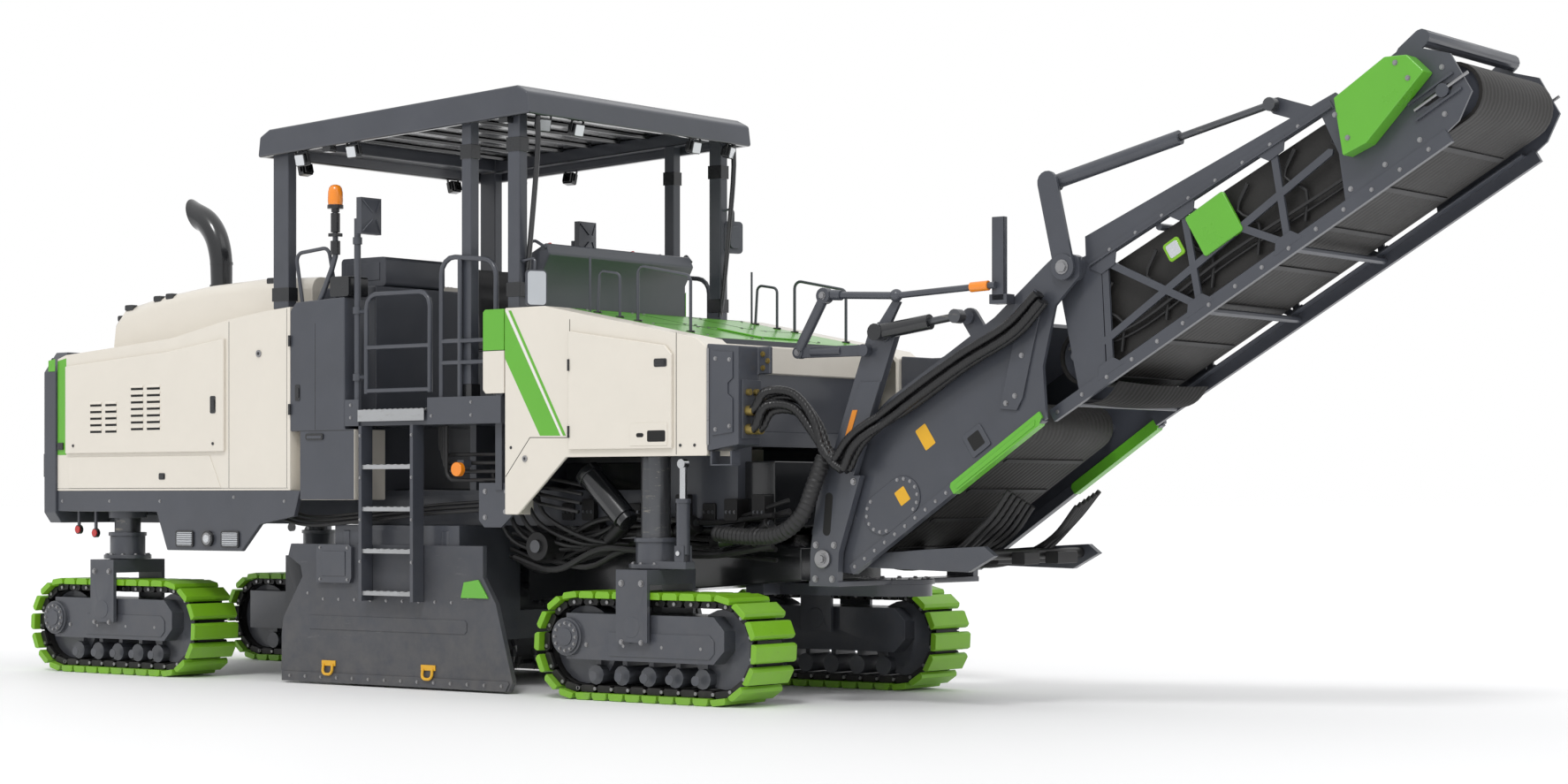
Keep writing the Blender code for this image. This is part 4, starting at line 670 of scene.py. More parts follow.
def rear_side(side, sign):
    body = f"door_rear_{side}"
    dark, scoops, handles = bmesh.new(), bmesh.new(), bmesh.new()
    face = 1.2455
    louvre_bank(dark, scoops, ((-2.898, -2.762), (-2.721, -2.587)), 5, (1.86, 2.115), face, sign)
    louvre_bank(dark, scoops, ((-2.423, -2.28), (-2.24, -2.089)), 7, (1.875, 2.232), face, sign)
    latch(handles, -1.50, 2.05, face, sign, 0.06, 0.13)
    for x in (-3.10, -1.50):
        add_disc(handles, (x, sign * (face + 0.003), 1.76), 0.012, 0.006, 12)
    piece(f"{body}_slots", dark, SHADE_AND_SCREEN_BLACK, body)
    piece(f"{body}_louvres", scoops, CREAM, body, bevel=0.002)
    piece(f"{body}_handles", handles, DARK_GLOSS, body, bevel=0.002)

    cream, green, black, red, glass, metal, plate = (bmesh.new() for _ in range(7))
    near = lambda a, b, base=1.22: sorted((sign * (base + a), sign * (base + b)))
    add_prism(cream, [(-3.18, 1.43), (-1.44, 1.43), (-1.56, 1.672), (-3.18, 1.672)], near(0.0, 0.006))
    latch(black, -2.089, 1.518, 1.226, sign, 0.07, 0.05)
    add_prism(green, [(-3.316, 1.69), (-3.214, 1.69), (-3.214, 2.445), (-3.316, 2.425)], near(0.0, 0.0012))
    add_prism(green, [(-3.405, 2.345), (-3.324, 2.345), (-3.324, 2.442), (-3.405, 2.43)], near(0.0, 0.0012, 1.24))
    add_box(black, (-3.31, -3.245), near(0.0, 0.012), (1.73, 1.785))
    add_disc(metal, (-1.028, sign * 1.224, 2.418), 0.026, 0.010, 24)
    add_disc(black, (-1.028, sign * 1.228, 2.418), 0.012, 0.006, 12)
    add_box(black, (-3.475, -3.455), near(-0.10, 0.0, 1.23), (1.52, 1.70))
    add_disc(red, (-3.485, sign * 1.18, 1.645), 0.032, 0.03, 20, "X")
    add_disc(red, (-3.485, sign * 1.18, 1.565), 0.032, 0.03, 20, "X")
    for x, z in ((-3.172, 1.108), (-2.971, 1.082)):
        add_box(plate, (x - 0.012, x + 0.012), near(-0.10, -0.085), (z, 1.26))
        add_disc(black, (x, sign * 1.128, z), 0.036, 0.026, 20)
        add_disc(red, (x, sign * 1.143, z), 0.029, 0.012, 20)
    for x0, x1 in ((-1.93, -1.735), (-1.43, -1.235)):
        add_prism(black, rounded_rect((x0, x1), (0.985, 1.11), 0.02), near(0.0, 0.014))
        for k in range(6):
            z = 1.003 + 0.0165 * k
            add_box(plate, (x0 + 0.012, x1 - 0.012), near(0.014, 0.020), (z, z + 0.006))
        add_prism(glass, rounded_rect((x0 + 0.014, x1 - 0.014), (0.998, 1.097), 0.012), near(0.012, 0.015))
    add_disc(black, (-1.572, sign * 1.232, 1.05), 0.060, 0.024, 32)
    add_disc(metal, (-1.572, sign * 1.243, 1.05), 0.046, 0.010, 32)
    add_disc(glass, (-1.572, sign * 1.246, 1.05), 0.030, 0.014, 24)
    for x in (-3.26, -2.70, -2.12, -1.30, -0.76):
        add_bolt(metal, (x, sign * 1.22, 1.33 if x < -2.0 or x > -1.25 else 1.36), (0, sign, 0), 0.010, 0.007)
    # seams between the body's panels, as thin gloss-black strips: painted shade in the gaps
    for x0, x1, z0, z1 in ((-1.355, -1.350, 1.43, 2.665), (-3.318, -0.72, 1.4255, 1.4285), (-0.735, -0.731, 1.43, 2.74)):
        add_box(black, (x0, x1), near(0.0, 0.0006), (z0, z1))
    for name, bm, material, bevel in (("flap", cream, CREAM, 0.003), ("stripe", green, GREEN, 0), ("fittings", black, DARK_GLOSS, 0.002),
                                      ("red_lamps", red, RED, 0.003), ("lamp_glass", glass, LAMP, 0.002),
                                      ("bright_fittings", metal, STEEL, 0.001), ("brackets", plate, ANTHRACITE, 0.001)):
        piece(f"rear_{side}_{name}", bm, material, "chassis", bevel=bevel)


def rear_end():
    """The grille in the rear frame, with its guard bars, bolts and towing eyes, and a near-black sheet behind the slats
    as painted shade.
    """
    slats, bars, bolts, core = (bmesh.new() for _ in range(4))
    add_box(core, (-3.335, -3.322), (-0.84, 0.84), (1.63, 2.33))
    for k in range(56):
        y = -0.825 + 1.65 * k / 55
        add_box(slats, (-3.365, -3.335), (y - 0.003, y + 0.003), (1.635, 2.325))
    for z in (1.80, 1.98, 2.16):
        add_rod(bars, (-3.40, -0.845, z), (-3.40, 0.845, z), 0.009, 8)
    for y in (-0.55, 0.0, 0.55):
        add_rod(bars, (-3.40, y, 1.625), (-3.40, y, 2.335), 0.009, 8)
    for y in (-1.15, -0.95, 0.95, 1.15):
        for z in (1.22, 1.45, 1.95, 2.44):
            add_bolt(bolts, (-3.46, y, z), (-1, 0, 0), 0.013, 0.010)
    for y in (-0.6, 0.6):
        loop = cornered([(-3.455, y - 0.05, 1.30), (-3.54, y - 0.05, 1.30), (-3.54, y + 0.05, 1.30), (-3.455, y + 0.05, 1.30)], 0.04)
        add_tube(bars, loop, 0.014, 10)
        add_box(bars, (-3.475, -3.46), (y - 0.09, y + 0.09), (1.25, 1.35))
    piece("rear_grille_shade_backing", core, SHADE_AND_SCREEN_BLACK, "chassis")
    piece("rear_grille_slats", slats, CHAIN, "chassis")
    piece("rear_guard_bars", bars, DARK_GLOSS, "chassis")
    piece("rear_frame_bolts", bolts, STEEL, "chassis")


def hood_fittings():
    black, metal, seam = bmesh.new(), bmesh.new(), bmesh.new()
    for sign in (RIGHT, LEFT):
        for x, z, length in ((-2.90, 2.735, 0.07), (-2.80, 2.815, 0.10), (-2.47, 2.872, 0.09), (-2.33, 2.885, 0.09), (-1.20, 2.955, 0.09)):
            y = sorted((sign * 0.895, sign * 0.945))
            add_prism(black, rounded_rect((x - length / 2, x + length / 2), (z, z + 0.045), 0.014), y)
            add_rod(metal, (x - length / 2 - 0.01, sign * 0.92, z + 0.022), (x + length / 2 + 0.01, sign * 0.92, z + 0.022), 0.008, 8)
    # vent slots on the hood: near-black strips of painted shade
    for k in range(9):
        y = -0.16 + 0.04 * k
        add_box(seam, (-1.10, -0.82), (y - 0.008 + 0.45, y + 0.008 + 0.45), (2.992, 3.000))
    add_disc(black, (-2.40, -0.35, 2.945), 0.115, 0.03, 32, "Z")
    for k in range(8):
        turn = 2 * pi * k / 8
        add_bolt(metal, (-2.40 + 0.098 * cos(turn), -0.35 + 0.098 * sin(turn), 2.955), (0, 0, 1), 0.007, 0.010)
    piece("hood_hinges", black, DARK_GLOSS, "hood", bevel=0.003)
    piece("hood_pins", metal, STEEL, "hood")
    piece("hood_vents", seam, SHADE_AND_SCREEN_BLACK, "hood")


def exhaust_horn():
    """A horn that sweeps back and ends in a slanting mouth."""
    bm = bmesh.new()
    path = smooth_path([(-2.40, -0.35, 2.94), (-2.40, -0.35, 3.10), (-2.41, -0.35, 3.26), (-2.46, -0.35, 3.41), (-2.56, -0.35, 3.53), (-2.70, -0.35, 3.60)], 0.03)
    rings = []
    for i, point in enumerate(path):
        share = i / (len(path) - 1)
        run = (path[min(i + 1, len(path) - 1)] - path[max(i - 1, 0)]).normalized()
        side, radius = Vector((0, 1, 0)), 0.082 + 0.016 * share
        up = run.cross(side)
        slant = 0.16 * max(0.0, (share - 0.72) / 0.28)
        for scale in ((1.0,) if i < len(path) - 1 else (1.0, 0.88)):
            rings.append([bm.verts.new(point + (side * cos(a) + up * sin(a)) * radius * scale + run * slant * sin(a) * -0.6)
                          for a in [2 * pi * k / 28 for k in range(28)]])
    inner = [[bm.verts.new(v.co + (path[-4] - path[-1]) * 0.9) for v in rings[-1]]]
    rings += inner
    for ring, following in zip(rings, rings[1:]):
        for k in range(28):
            n = (k + 1) % 28
            bm.faces.new((ring[k], following[k], following[n], ring[n]))
    bm.faces.new(rings[0])
    bm.faces.new(rings[-1])
    bmesh.ops.recalc_face_normals(bm, faces=bm.faces)
    for z, r in ((2.955, 0.125), (3.02, 0.092), (3.20, 0.090)):
        add_disc(bm, (-2.40, -0.35, z), r, 0.022, 32, "Z")
    made = piece("exhaust_horn", bm, DARK_GLOSS, "hood")
    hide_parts("exhaust")


for side, sign in SIDES:
    rear_side(side, sign)
rear_end()
exhaust_horn()
hood_fittings()


# ------------------------------------------------------------------ middle: cabinets, platform, seats, console

def grab_loop(bm, points, radius=0.014, bend=0.06):
    add_tube(bm, cornered(points, bend), radius, 10)


def middle_side(side, sign):
    near = lambda a, b, base=1.22: sorted((sign * (base + a), sign * (base + b)))
    black, metal, rails, cream, green, bolts, dark = (bmesh.new() for _ in range(7))
    add_prism(black, rounded_rect((-0.53, -0.35), (1.775, 1.822), 0.016), near(0.0, 0.010))
    add_prism(dark, rounded_rect((-0.515, -0.365), (1.785, 1.805), 0.008), near(0.010, 0.012))
    # thin gloss-black lines along the cabinet's seams: painted shade in the gaps
    add_box(black, (-0.598, -0.042), near(0.0, 0.0008), (1.838, 1.844))
    add_box(black, (-0.44, -0.436), near(0.0, 0.0008), (1.85, 2.62))
    latch(black, -0.62, 2.12, 1.22, sign, 0.05, 0.12)
    add_prism(black, rounded_rect((-0.29, -0.10), (2.805, 2.95), 0.02), sorted((sign * 1.02, sign * 1.215)))
    for z in (2.0, 2.5):
        add_rod(black, (-0.695, sign * 1.232, z - 0.04), (-0.695, sign * 1.232, z + 0.04), 0.010, 10)
    grab_loop(rails, [(-0.64, sign * 1.14, 2.72), (-0.70, sign * 1.16, 3.14), (-0.36, sign * 1.16, 3.17), (-0.30, sign * 1.14, 2.80)])
    # treads at the ladder's head, and the ladder's feet
    add_box(metal, (0.01, 0.665), near(-0.075, 0.014), (1.972, 1.984))
    add_box(metal, (0.01, 0.665), near(0.0105, 0.0145), (1.90, 1.984))
    for k in range(12):
        for j in range(2):
            x = 0.05 + 0.052 * k
            add_rod(metal, (x, sign * (1.165 + 0.04 * j), 1.984), (x, sign * (1.165 + 0.04 * j), 1.989), 0.008, 8)
    for k in range(4):
        z = 0.69 + 0.30 * k
        for j in range(7):
            x = 0.09 + 0.068 * j
            add_box(metal, (x, x + 0.03), sorted((sign * 1.137, sign * 1.226)), (z, z + 0.004))
    for x in (0.035, 0.545):
        for z in (0.9, 1.2, 1.5, 1.8):
            add_bolt(bolts, (x, sign * 1.235, z), (0, sign, 0), 0.009, 0.007)
    # side panel of the platform's front wall, green over cream
    y = sorted((sign * 1.2005, sign * 1.219))
    add_prism(green, [(1.215, 2.372), (1.412, 2.372), (1.412, 2.655), (1.235, 2.655), (1.215, 2.635)], y)
    add_prism(cream, [(1.24, 2.075), (1.412, 2.075), (1.412, 2.368), (1.215, 2.368), (1.215, 2.10)], y)
    for x, z in ((-0.08, 1.93), (-0.08, 2.02), (0.72, 1.93), (1.10, 1.93), (1.10, 2.02)):
        add_bolt(bolts, (x, sign * 1.215, z), (0, sign, 0), 0.009, 0.007)
    # the gate post's clamps and the mirror's moulded back
    for z in (2.22, 2.70, 3.20):
        add_disc(dark, (-0.05, sign * 1.175, z), 0.034, 0.05, 20, "Z")
    c = Vector((0.09, sign * 1.175, 3.37))
    corners = [c + Vector((0.0, a * 0.092, b * 0.118)) for a, b in ((-1, -1), (1, -1), (1, 1), (-1, 1))]
    tip = [c + Vector((0.030, a * 0.022, b * 0.03)) for a, b in ((-1, -1), (1, -1), (1, 1), (-1, 1))]
    low, high = [dark.verts.new(p) for p in corners], [dark.verts.new(p) for p in tip]
    for i in range(4):
        j = (i + 1) % 4
        dark.faces.new((low[i], low[j], high[j], high[i]))
    dark.faces.new(high)
    bmesh.ops.recalc_face_normals(dark, faces=dark.faces)
    for a, b in ((-1, -1), (1, 1)):
        for s in (1, -1):
            add_rod(dark, c + Vector((0.002, a * s * 0.09, b * 0.115)), c + Vector((0.033, a * s * 0.02, b * 0.028)), 0.006, 8)
    glass = bmesh.new()
    add_box(glass, (0.0375, 0.0395), sorted((sign * 1.085, sign * 1.265)), (3.255, 3.485))
    for name, bm, material, bevel in (("fittings", black, DARK_GLOSS, 0.003), ("treads", metal, TREAD, 0.001), ("grab_rail", rails, ANTHRACITE, 0),
                                      ("panel_low", cream, CREAM, 0.004), ("panel_top", green, GREEN, 0.004), ("bolts", bolts, STEEL, 0),
                                      ("mirror_back", dark, ANTHRACITE, 0.003), ("mirror_pane", glass, MIRROR, 0)):
        piece(f"middle_{side}_{name}", bm, material, "chassis", bevel=bevel)


def beacon():
    mast, dome, base = bmesh.new(), bmesh.new(), bmesh.new()
    add_tube(mast, cornered([(-0.42, -1.19, 2.78), (-0.30, -1.19, 3.00), (-0.26, -1.19, 3.10), (-0.26, -1.19, 3.44)], 0.05), 0.020, 12)
    add_disc(base, (-0.26, -1.19, 3.455), 0.058, 0.03, 32, "Z")
    add_disc(base, (-0.26, -1.19, 3.16), 0.036, 0.10, 20, "Z")
    add_disc(base, (-0.26, -1.19, 3.34), 0.034, 0.14, 20, "Z")
    add_box(base, (-0.30, -0.22), (-1.225, -1.155), (3.24, 3.265))
    add_disc(base, (-0.26, -1.19, 3.43), 0.030, 0.03, 20, "Z")
    rings = [(0.052, 3.470), (0.055, 3.50), (0.053, 3.56), (0.047, 3.59), (0.034, 3.608), (0.015, 3.615)]
    rows = [[dome.verts.new((-0.26 + r * cos(2 * pi * k / 32), -1.19 + r * sin(2 * pi * k / 32), z)) for k in range(32)] for r, z in rings]
    for row, above in zip(rows, rows[1:]):
        for k in range(32):
            n = (k + 1) % 32
            dome.faces.new((row[k], row[n], above[n], above[k]))
    dome.faces.new(rows[-1])
    dome.faces.new(reversed(rows[0]))
    piece("beacon_mast", mast, ANTHRACITE, "chassis")
    piece("beacon_base", base, DARK_GLOSS, "chassis", bevel=0.004)
    piece("beacon_dome", dome, AMBER, "chassis")


def pad_form(size, radius, crown, grooves=(), cuts=14):
    """A stuffed block about its own middle: crowned top, sides that pull in, a sewn waist and channels along Y."""
    bm = bmesh.new()
    bmesh.ops.create_cube(bm, size=2.0)
    bmesh.ops.subdivide_edges(bm, edges=bm.edges, cuts=cuts, use_grid_fill=True)
    half = Vector(size) / 2
    for vert in bm.verts:
        a = Vector(vert.co)
        p = Vector((a.x * half.x, a.y * half.y, a.z * half.z))
        core = Vector([max(-(h - radius), min(h - radius, c)) for h, c in zip(half, p)])
        off = p - core
        if off.length > 1e-9:
            p = core + off.normalized() * min(radius, off.length)
        bulge = (1 - a.x ** 2) * (1 - a.y ** 2)
        if a.z > 0:
            p.z += crown * bulge * a.z
            for g in grooves:
                p.z -= 0.011 * math_bell((p.x - g) / 0.012) * (1 - a.y ** 4) * a.z
        p.x -= 0.010 * a.x * (1 - a.y ** 2) * (1 - a.z ** 2)
        p.y -= 0.010 * a.y * (1 - a.x ** 2) * (1 - a.z ** 2)
        waist = math_bell(p.z / 0.006)
        if max(abs(a.x), abs(a.y)) > 0.98:
            p.x -= 0.005 * waist * (1 if a.x > 0 else -1) * abs(a.x) ** 8
            p.y -= 0.005 * waist * (1 if a.y > 0 else -1) * abs(a.y) ** 8
        p.z += 0.0025 * noise.noise(p * 14.0) * bulge
        vert.co = p
    return bm


def math_bell(value):
    return 1.0 / (1.0 + value * value * value * value)


def seat_parts(side, sign):
    y = sign * 0.55
    base, dark = bmesh.new(), bmesh.new()
    add_disc(base, (0.92, y, 1.982), 0.138, 0.02, 36, "Z")
    add_rod(base, (0.92, y, 1.99), (0.92, y, 2.36), 0.058, 28)
    add_rod(base, (0.92, y, 2.06), (0.92, y, 2.14), 0.066, 28)
    add_box(base, (0.74, 1.06), (y - 0.17, y + 0.17), (2.355, 2.405))
    add_prism(dark, [(0.655, 2.43), (0.70, 2.42), (0.635, 2.985), (0.602, 2.98)], (y - 0.18, y + 0.18))
    add_box(dark, (0.70, 0.80), (y - 0.19, y + 0.19), (2.40, 2.425))
    for k in range(4):
        turn = pi / 4 + pi / 2 * k
        add_bolt(base, (0.92 + 0.11 * cos(turn), y + 0.11 * sin(turn), 1.992), (0, 0, 1), 0.010, 0.008)
    made = piece(f"seat_{side}_stand", base, ANTHRACITE, "chassis", bevel=0.003)
    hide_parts(f"seat_{side}")
    piece(f"seat_{side}_shell", dark, DARK_GLOSS, "chassis", bevel=0.008)
    cushion = piece(f"seat_{side}_cushion", pad_form((0.39, 0.43, 0.085), 0.036, 0.014, (-0.07, 0.06)), VINYL, "chassis",
                    DATUM @ Matrix.Translation((0.90, y, 2.447)))
    lean = Matrix.Translation((0.708, y, 2.735)) @ Matrix.Rotation(radians(83.5), 4, "Y") @ Matrix.Rotation(pi, 4, "X")
    lean = Matrix.Translation((0.690, y, 2.735)) @ Matrix.Rotation(radians(-6.4), 4, "Y") @ Matrix.Rotation(radians(90), 4, "Y")
    back = piece(f"seat_{side}_back", pad_form((0.52, 0.39, 0.075), 0.032, 0.012, (-0.09, 0.07)), VINYL, "chassis", DATUM @ lean)


def console_details():
    """Screens, switches, levers and grab bars on the console."""
    slope = atan2(0.12, 0.26)
    face = DATUM @ tilted(1.16, 3.02, slope)
    panel, screens, switches, red, knobs = (bmesh.new() for _ in range(5))
    for y in (-0.45, 0.45):
        add_prism(panel, rounded_rect((0.02, 0.265), (y - 0.30, y + 0.30), 0.02), (0.0005, 0.005), "Z")
        add_prism(screens, rounded_rect((0.06, 0.20), (y - 0.10, y + 0.10), 0.012), (0.005, 0.014), "Z")
        for k in range(8):
            x, at = 0.05 + 0.035 * (k % 2), y + (0.14 if k < 4 else -0.26) + 0.035 * (k % 4)
            add_disc(switches, (x, at, 0.009), 0.010, 0.010, 12, "Z")
            add_disc(switches, (x + 0.08, at, 0.009), 0.008, 0.012, 12, "Z")
        add_disc(red, (0.225, y - 0.24, 0.016), 0.020, 0.024, 20, "Z")
        add_rod(knobs, (0.10, y + 0.25, 0.004), (0.095, y + 0.25, 0.075), 0.008, 10)
        add_disc(knobs, (0.094, y + 0.25, 0.088), 0.020, 0.036, 20, "Z")
    for name, bm, material in (("panel", panel, DARK_GLOSS), ("screens", screens, SHADE_AND_SCREEN_BLACK), ("switches", switches, STEEL),
                               ("stop_buttons", red, RED), ("levers", knobs, RUBBER)):
        piece(f"console_{name}", bm, material, "chassis", face, 0.002)
    rails, green, box = bmesh.new(), bmesh.new(), bmesh.new()
    for sign in (RIGHT, LEFT):
        y = sign * 0.80
        grab_loop(rails, [(1.36, y, 2.66), (1.30, y * 1.06, 2.98), (1.33, y * 1.06, 3.17), (1.43, y, 3.10)], 0.011, 0.03)
        add_prism(green, [(1.32, 2.66), (1.377, 2.66), (1.377, 2.88), (1.33, 2.82)], sorted((sign * 0.8005, sign * 0.806)))
    add_prism(box, rounded_rect((-0.62, -0.16), (2.905, 3.12), 0.03), (-0.78, -0.16))
    add_box(box, (-0.56, -0.22), (-0.786, -0.78), (2.95, 3.08))
    piece("console_rails", rails, ANTHRACITE, "chassis")
    piece("console_ends", green, GREEN, "chassis", bevel=0.002)
    piece("tank_top_box", box, ANTHRACITE, "chassis", bevel=0.010)


def deck_pattern():
    """Raised lozenges on the platform's deck."""
    bm = bmesh.new()
    for i in range(17):
        for k in range(29):
            x, y = 0.0 + 0.075 * i + 0.04, -1.10 + 0.0785 * k
            if 0.66 < x < 0.80 and abs(y) < 0.9:
                pass
            long, wide = (0.020, 0.007) if (i + k) % 2 else (0.007, 0.020)
            top = [bm.verts.new((x + a * 0.6 * long, y + b * 0.6 * wide, 1.973)) for a, b in ((1, 0), (0, 1), (-1, 0), (0, -1))]
            low = [bm.verts.new((x + a * long, y + b * wide, 1.9702)) for a, b in ((1, 0), (0, 1), (-1, 0), (0, -1))]
            bm.faces.new(top)
            for j in range(4):
                bm.faces.new((low[j], low[(j + 1) % 4], top[(j + 1) % 4], top[j]))
    piece("deck_tread", bm, SCUFFED, "chassis")


for side, sign in SIDES:
    middle_side(side, sign)
    seat_parts(side, sign)
beacon()
console_details()
deck_pattern()


# ------------------------------------------------------------------ canopy

def roof_z(x):
    return 3.92 + 0.045 * (x - 0.315)


def work_lamp(body, shell, glass, place, facing):
    """A square lamp on a bracket, facing a level direction and a little down."""
    turn = Matrix.Translation(place) @ Matrix.Rotation(facing, 4, "Z") @ Matrix.Rotation(radians(14), 4, "Y")
    box, pane = bmesh.new(), bmesh.new()
    add_prism(box, rounded_rect((-0.05, 0.05), (-0.045, 0.045), 0.012), (-0.025, 0.03), "X")
    for k in range(5):
        add_box(box, (-0.045, -0.025), (-0.04 + 0.018 * k, -0.034 + 0.018 * k), (-0.035, 0.035))
    add_box(box, (-0.01, 0.01), (-0.062, -0.056), (-0.02, 0.075))
    add_box(box, (-0.01, 0.01), (0.056, 0.062), (-0.02, 0.075))
    add_box(box, (-0.01, 0.01), (-0.062, 0.062), (0.07, 0.078))
    add_prism(pane, rounded_rect((-0.043, 0.043), (-0.038, 0.038), 0.008), (0.029, 0.034), "X")
    for target, made in ((shell, box), (glass, pane)):
        bmesh.ops.transform(made, matrix=turn, verts=made.verts)
        holder = bpy.data.meshes.new("lamp")
        made.to_mesh(holder)
        made.free()
        target.from_mesh(holder)
        bpy.data.meshes.remove(holder)


def canopy_details():
    ribs, shell, glass, bolts, trims = (bmesh.new() for _ in range(5))
    for k in range(7):
        x = -0.66 + 0.29 * k
        z = roof_z(x) + 0.158
        outline = [(x - 0.05, z), (x - 0.035, z - 0.022), (x + 0.035, z - 0.022), (x + 0.05, z)]
        add_prism(ribs, outline, (-1.04, 1.04))
    for x, y, facing in ((-0.62, -1.17, -pi / 2), (-0.09, -1.17, -pi / 2), (-0.62, 1.17, pi / 2), (-0.09, 1.17, pi / 2)):
        work_lamp("chassis", shell, glass, (x, y, roof_z(x) - 0.055), facing)
    for y, facing in ((-1.03, -0.3), (-0.68, 0.0), (0.62, 0.0), (1.03, 0.3)):
        work_lamp("chassis", shell, glass, (1.60, y, roof_z(1.6) - 0.055), facing)
    for y in (-0.8, 0.8):
        work_lamp("chassis", shell, glass, (-0.98, y, roof_z(-0.98) - 0.055), pi)
    for x in (-0.33, 1.40):
        add_prism(shell, rounded_rect((x - 0.04, x + 0.04), (roof_z(x) - 0.035, roof_z(x) + 0.01), 0.01), (-1.215, -1.15))
    for sign in (RIGHT, LEFT):
        for x in (-0.95, -0.79, 0.95, 1.04, 1.385, 1.495):
            add_bolt(bolts, (x + (0.02 if x in (-0.95, 0.95, 1.385) else -0.02), sign * 1.1535, roof_z(x) + 0.09), (0, sign, 0), 0.010, 0.008)
        for x0, x1, z in ((-0.955, -0.785, 2.80), (0.945, 1.045, 2.05), (1.38, 1.50, 2.74), (0.945, 1.045, 3.72), (1.38, 1.50, 3.74)):
            add_box(trims, (x0 - 0.004, x1 + 0.004), sorted((sign * 1.063, sign * 1.157)), (z, z + 0.10))
        strut = [(1.475, sign * 1.085, 2.70), (1.515, sign * 1.085, 2.95), (1.60, sign * 1.085, 3.70), (1.605, sign * 1.085, 3.98)]
        add_tube(trims, smooth_path(strut, 0.08), 0.019, 12)
    # the plate on the front cross-beam
    add_prism(trims, rounded_rect((-0.30, 0.30), (roof_z(1.50) + 0.035, roof_z(1.50) + 0.105), 0.015), (1.4955, 1.507), "X")
    for name, bm, material, bevel in (("roof_ribs", ribs, DARK_GLOSS, 0.006), ("work_lamps", shell, DARK_GLOSS, 0.003),
                                      ("work_lamp_panes", glass, LAMP, 0.001), ("roof_bolts", bolts, STEEL, 0),
                                      ("post_sleeves", trims, DARK_GLOSS, 0.003)):
        piece(name, bm, material, "chassis", bevel=bevel)


def mirror_head(name, place, size, facing, arm):
    """A mirror: housing, pane and bent arm. facing turns the pane's outward side from +X."""
    turn = Matrix.Translation(place) @ Matrix.Rotation(facing, 4, "Z")
    shell, pane, tube = bmesh.new(), bmesh.new(), bmesh.new()
    w, h = size
    add_prism(shell, rounded_rect((-w, w), (-h, h), 0.03), (-0.028, 0.008), "X")
    add_prism(shell, rounded_rect((-w * 0.6, w * 0.6), (-h * 0.7, h * 0.7), 0.03), (-0.042, -0.028), "X")
    add_prism(pane, rounded_rect((-w + 0.010, w - 0.010), (-h + 0.010, h - 0.010), 0.022), (0.008, 0.010), "X")
    add_tube(tube, cornered(arm, 0.03), 0.009, 10)
    piece(f"{name}_housing", shell, ANTHRACITE, "chassis", DATUM @ turn, 0.006)
    piece(f"{name}_pane", pane, MIRROR, "chassis", DATUM @ turn)
    piece(f"{name}_arm", tube, ANTHRACITE, "chassis")


canopy_details()
mirror_head("mirror_left", (1.545, 1.15, 3.30), (0.075, 0.12), pi - 0.35, [(1.49, 1.11, 3.50), (1.56, 1.14, 3.52), (1.56, 1.14, 3.40)])
mirror_head("mirror_right", (1.66, -1.16, 2.79), (0.075, 0.125), -0.55, [(1.46, -1.12, 2.98), (1.63, -1.14, 3.00), (1.63, -1.15, 2.86)])


# ------------------------------------------------------------------ front body

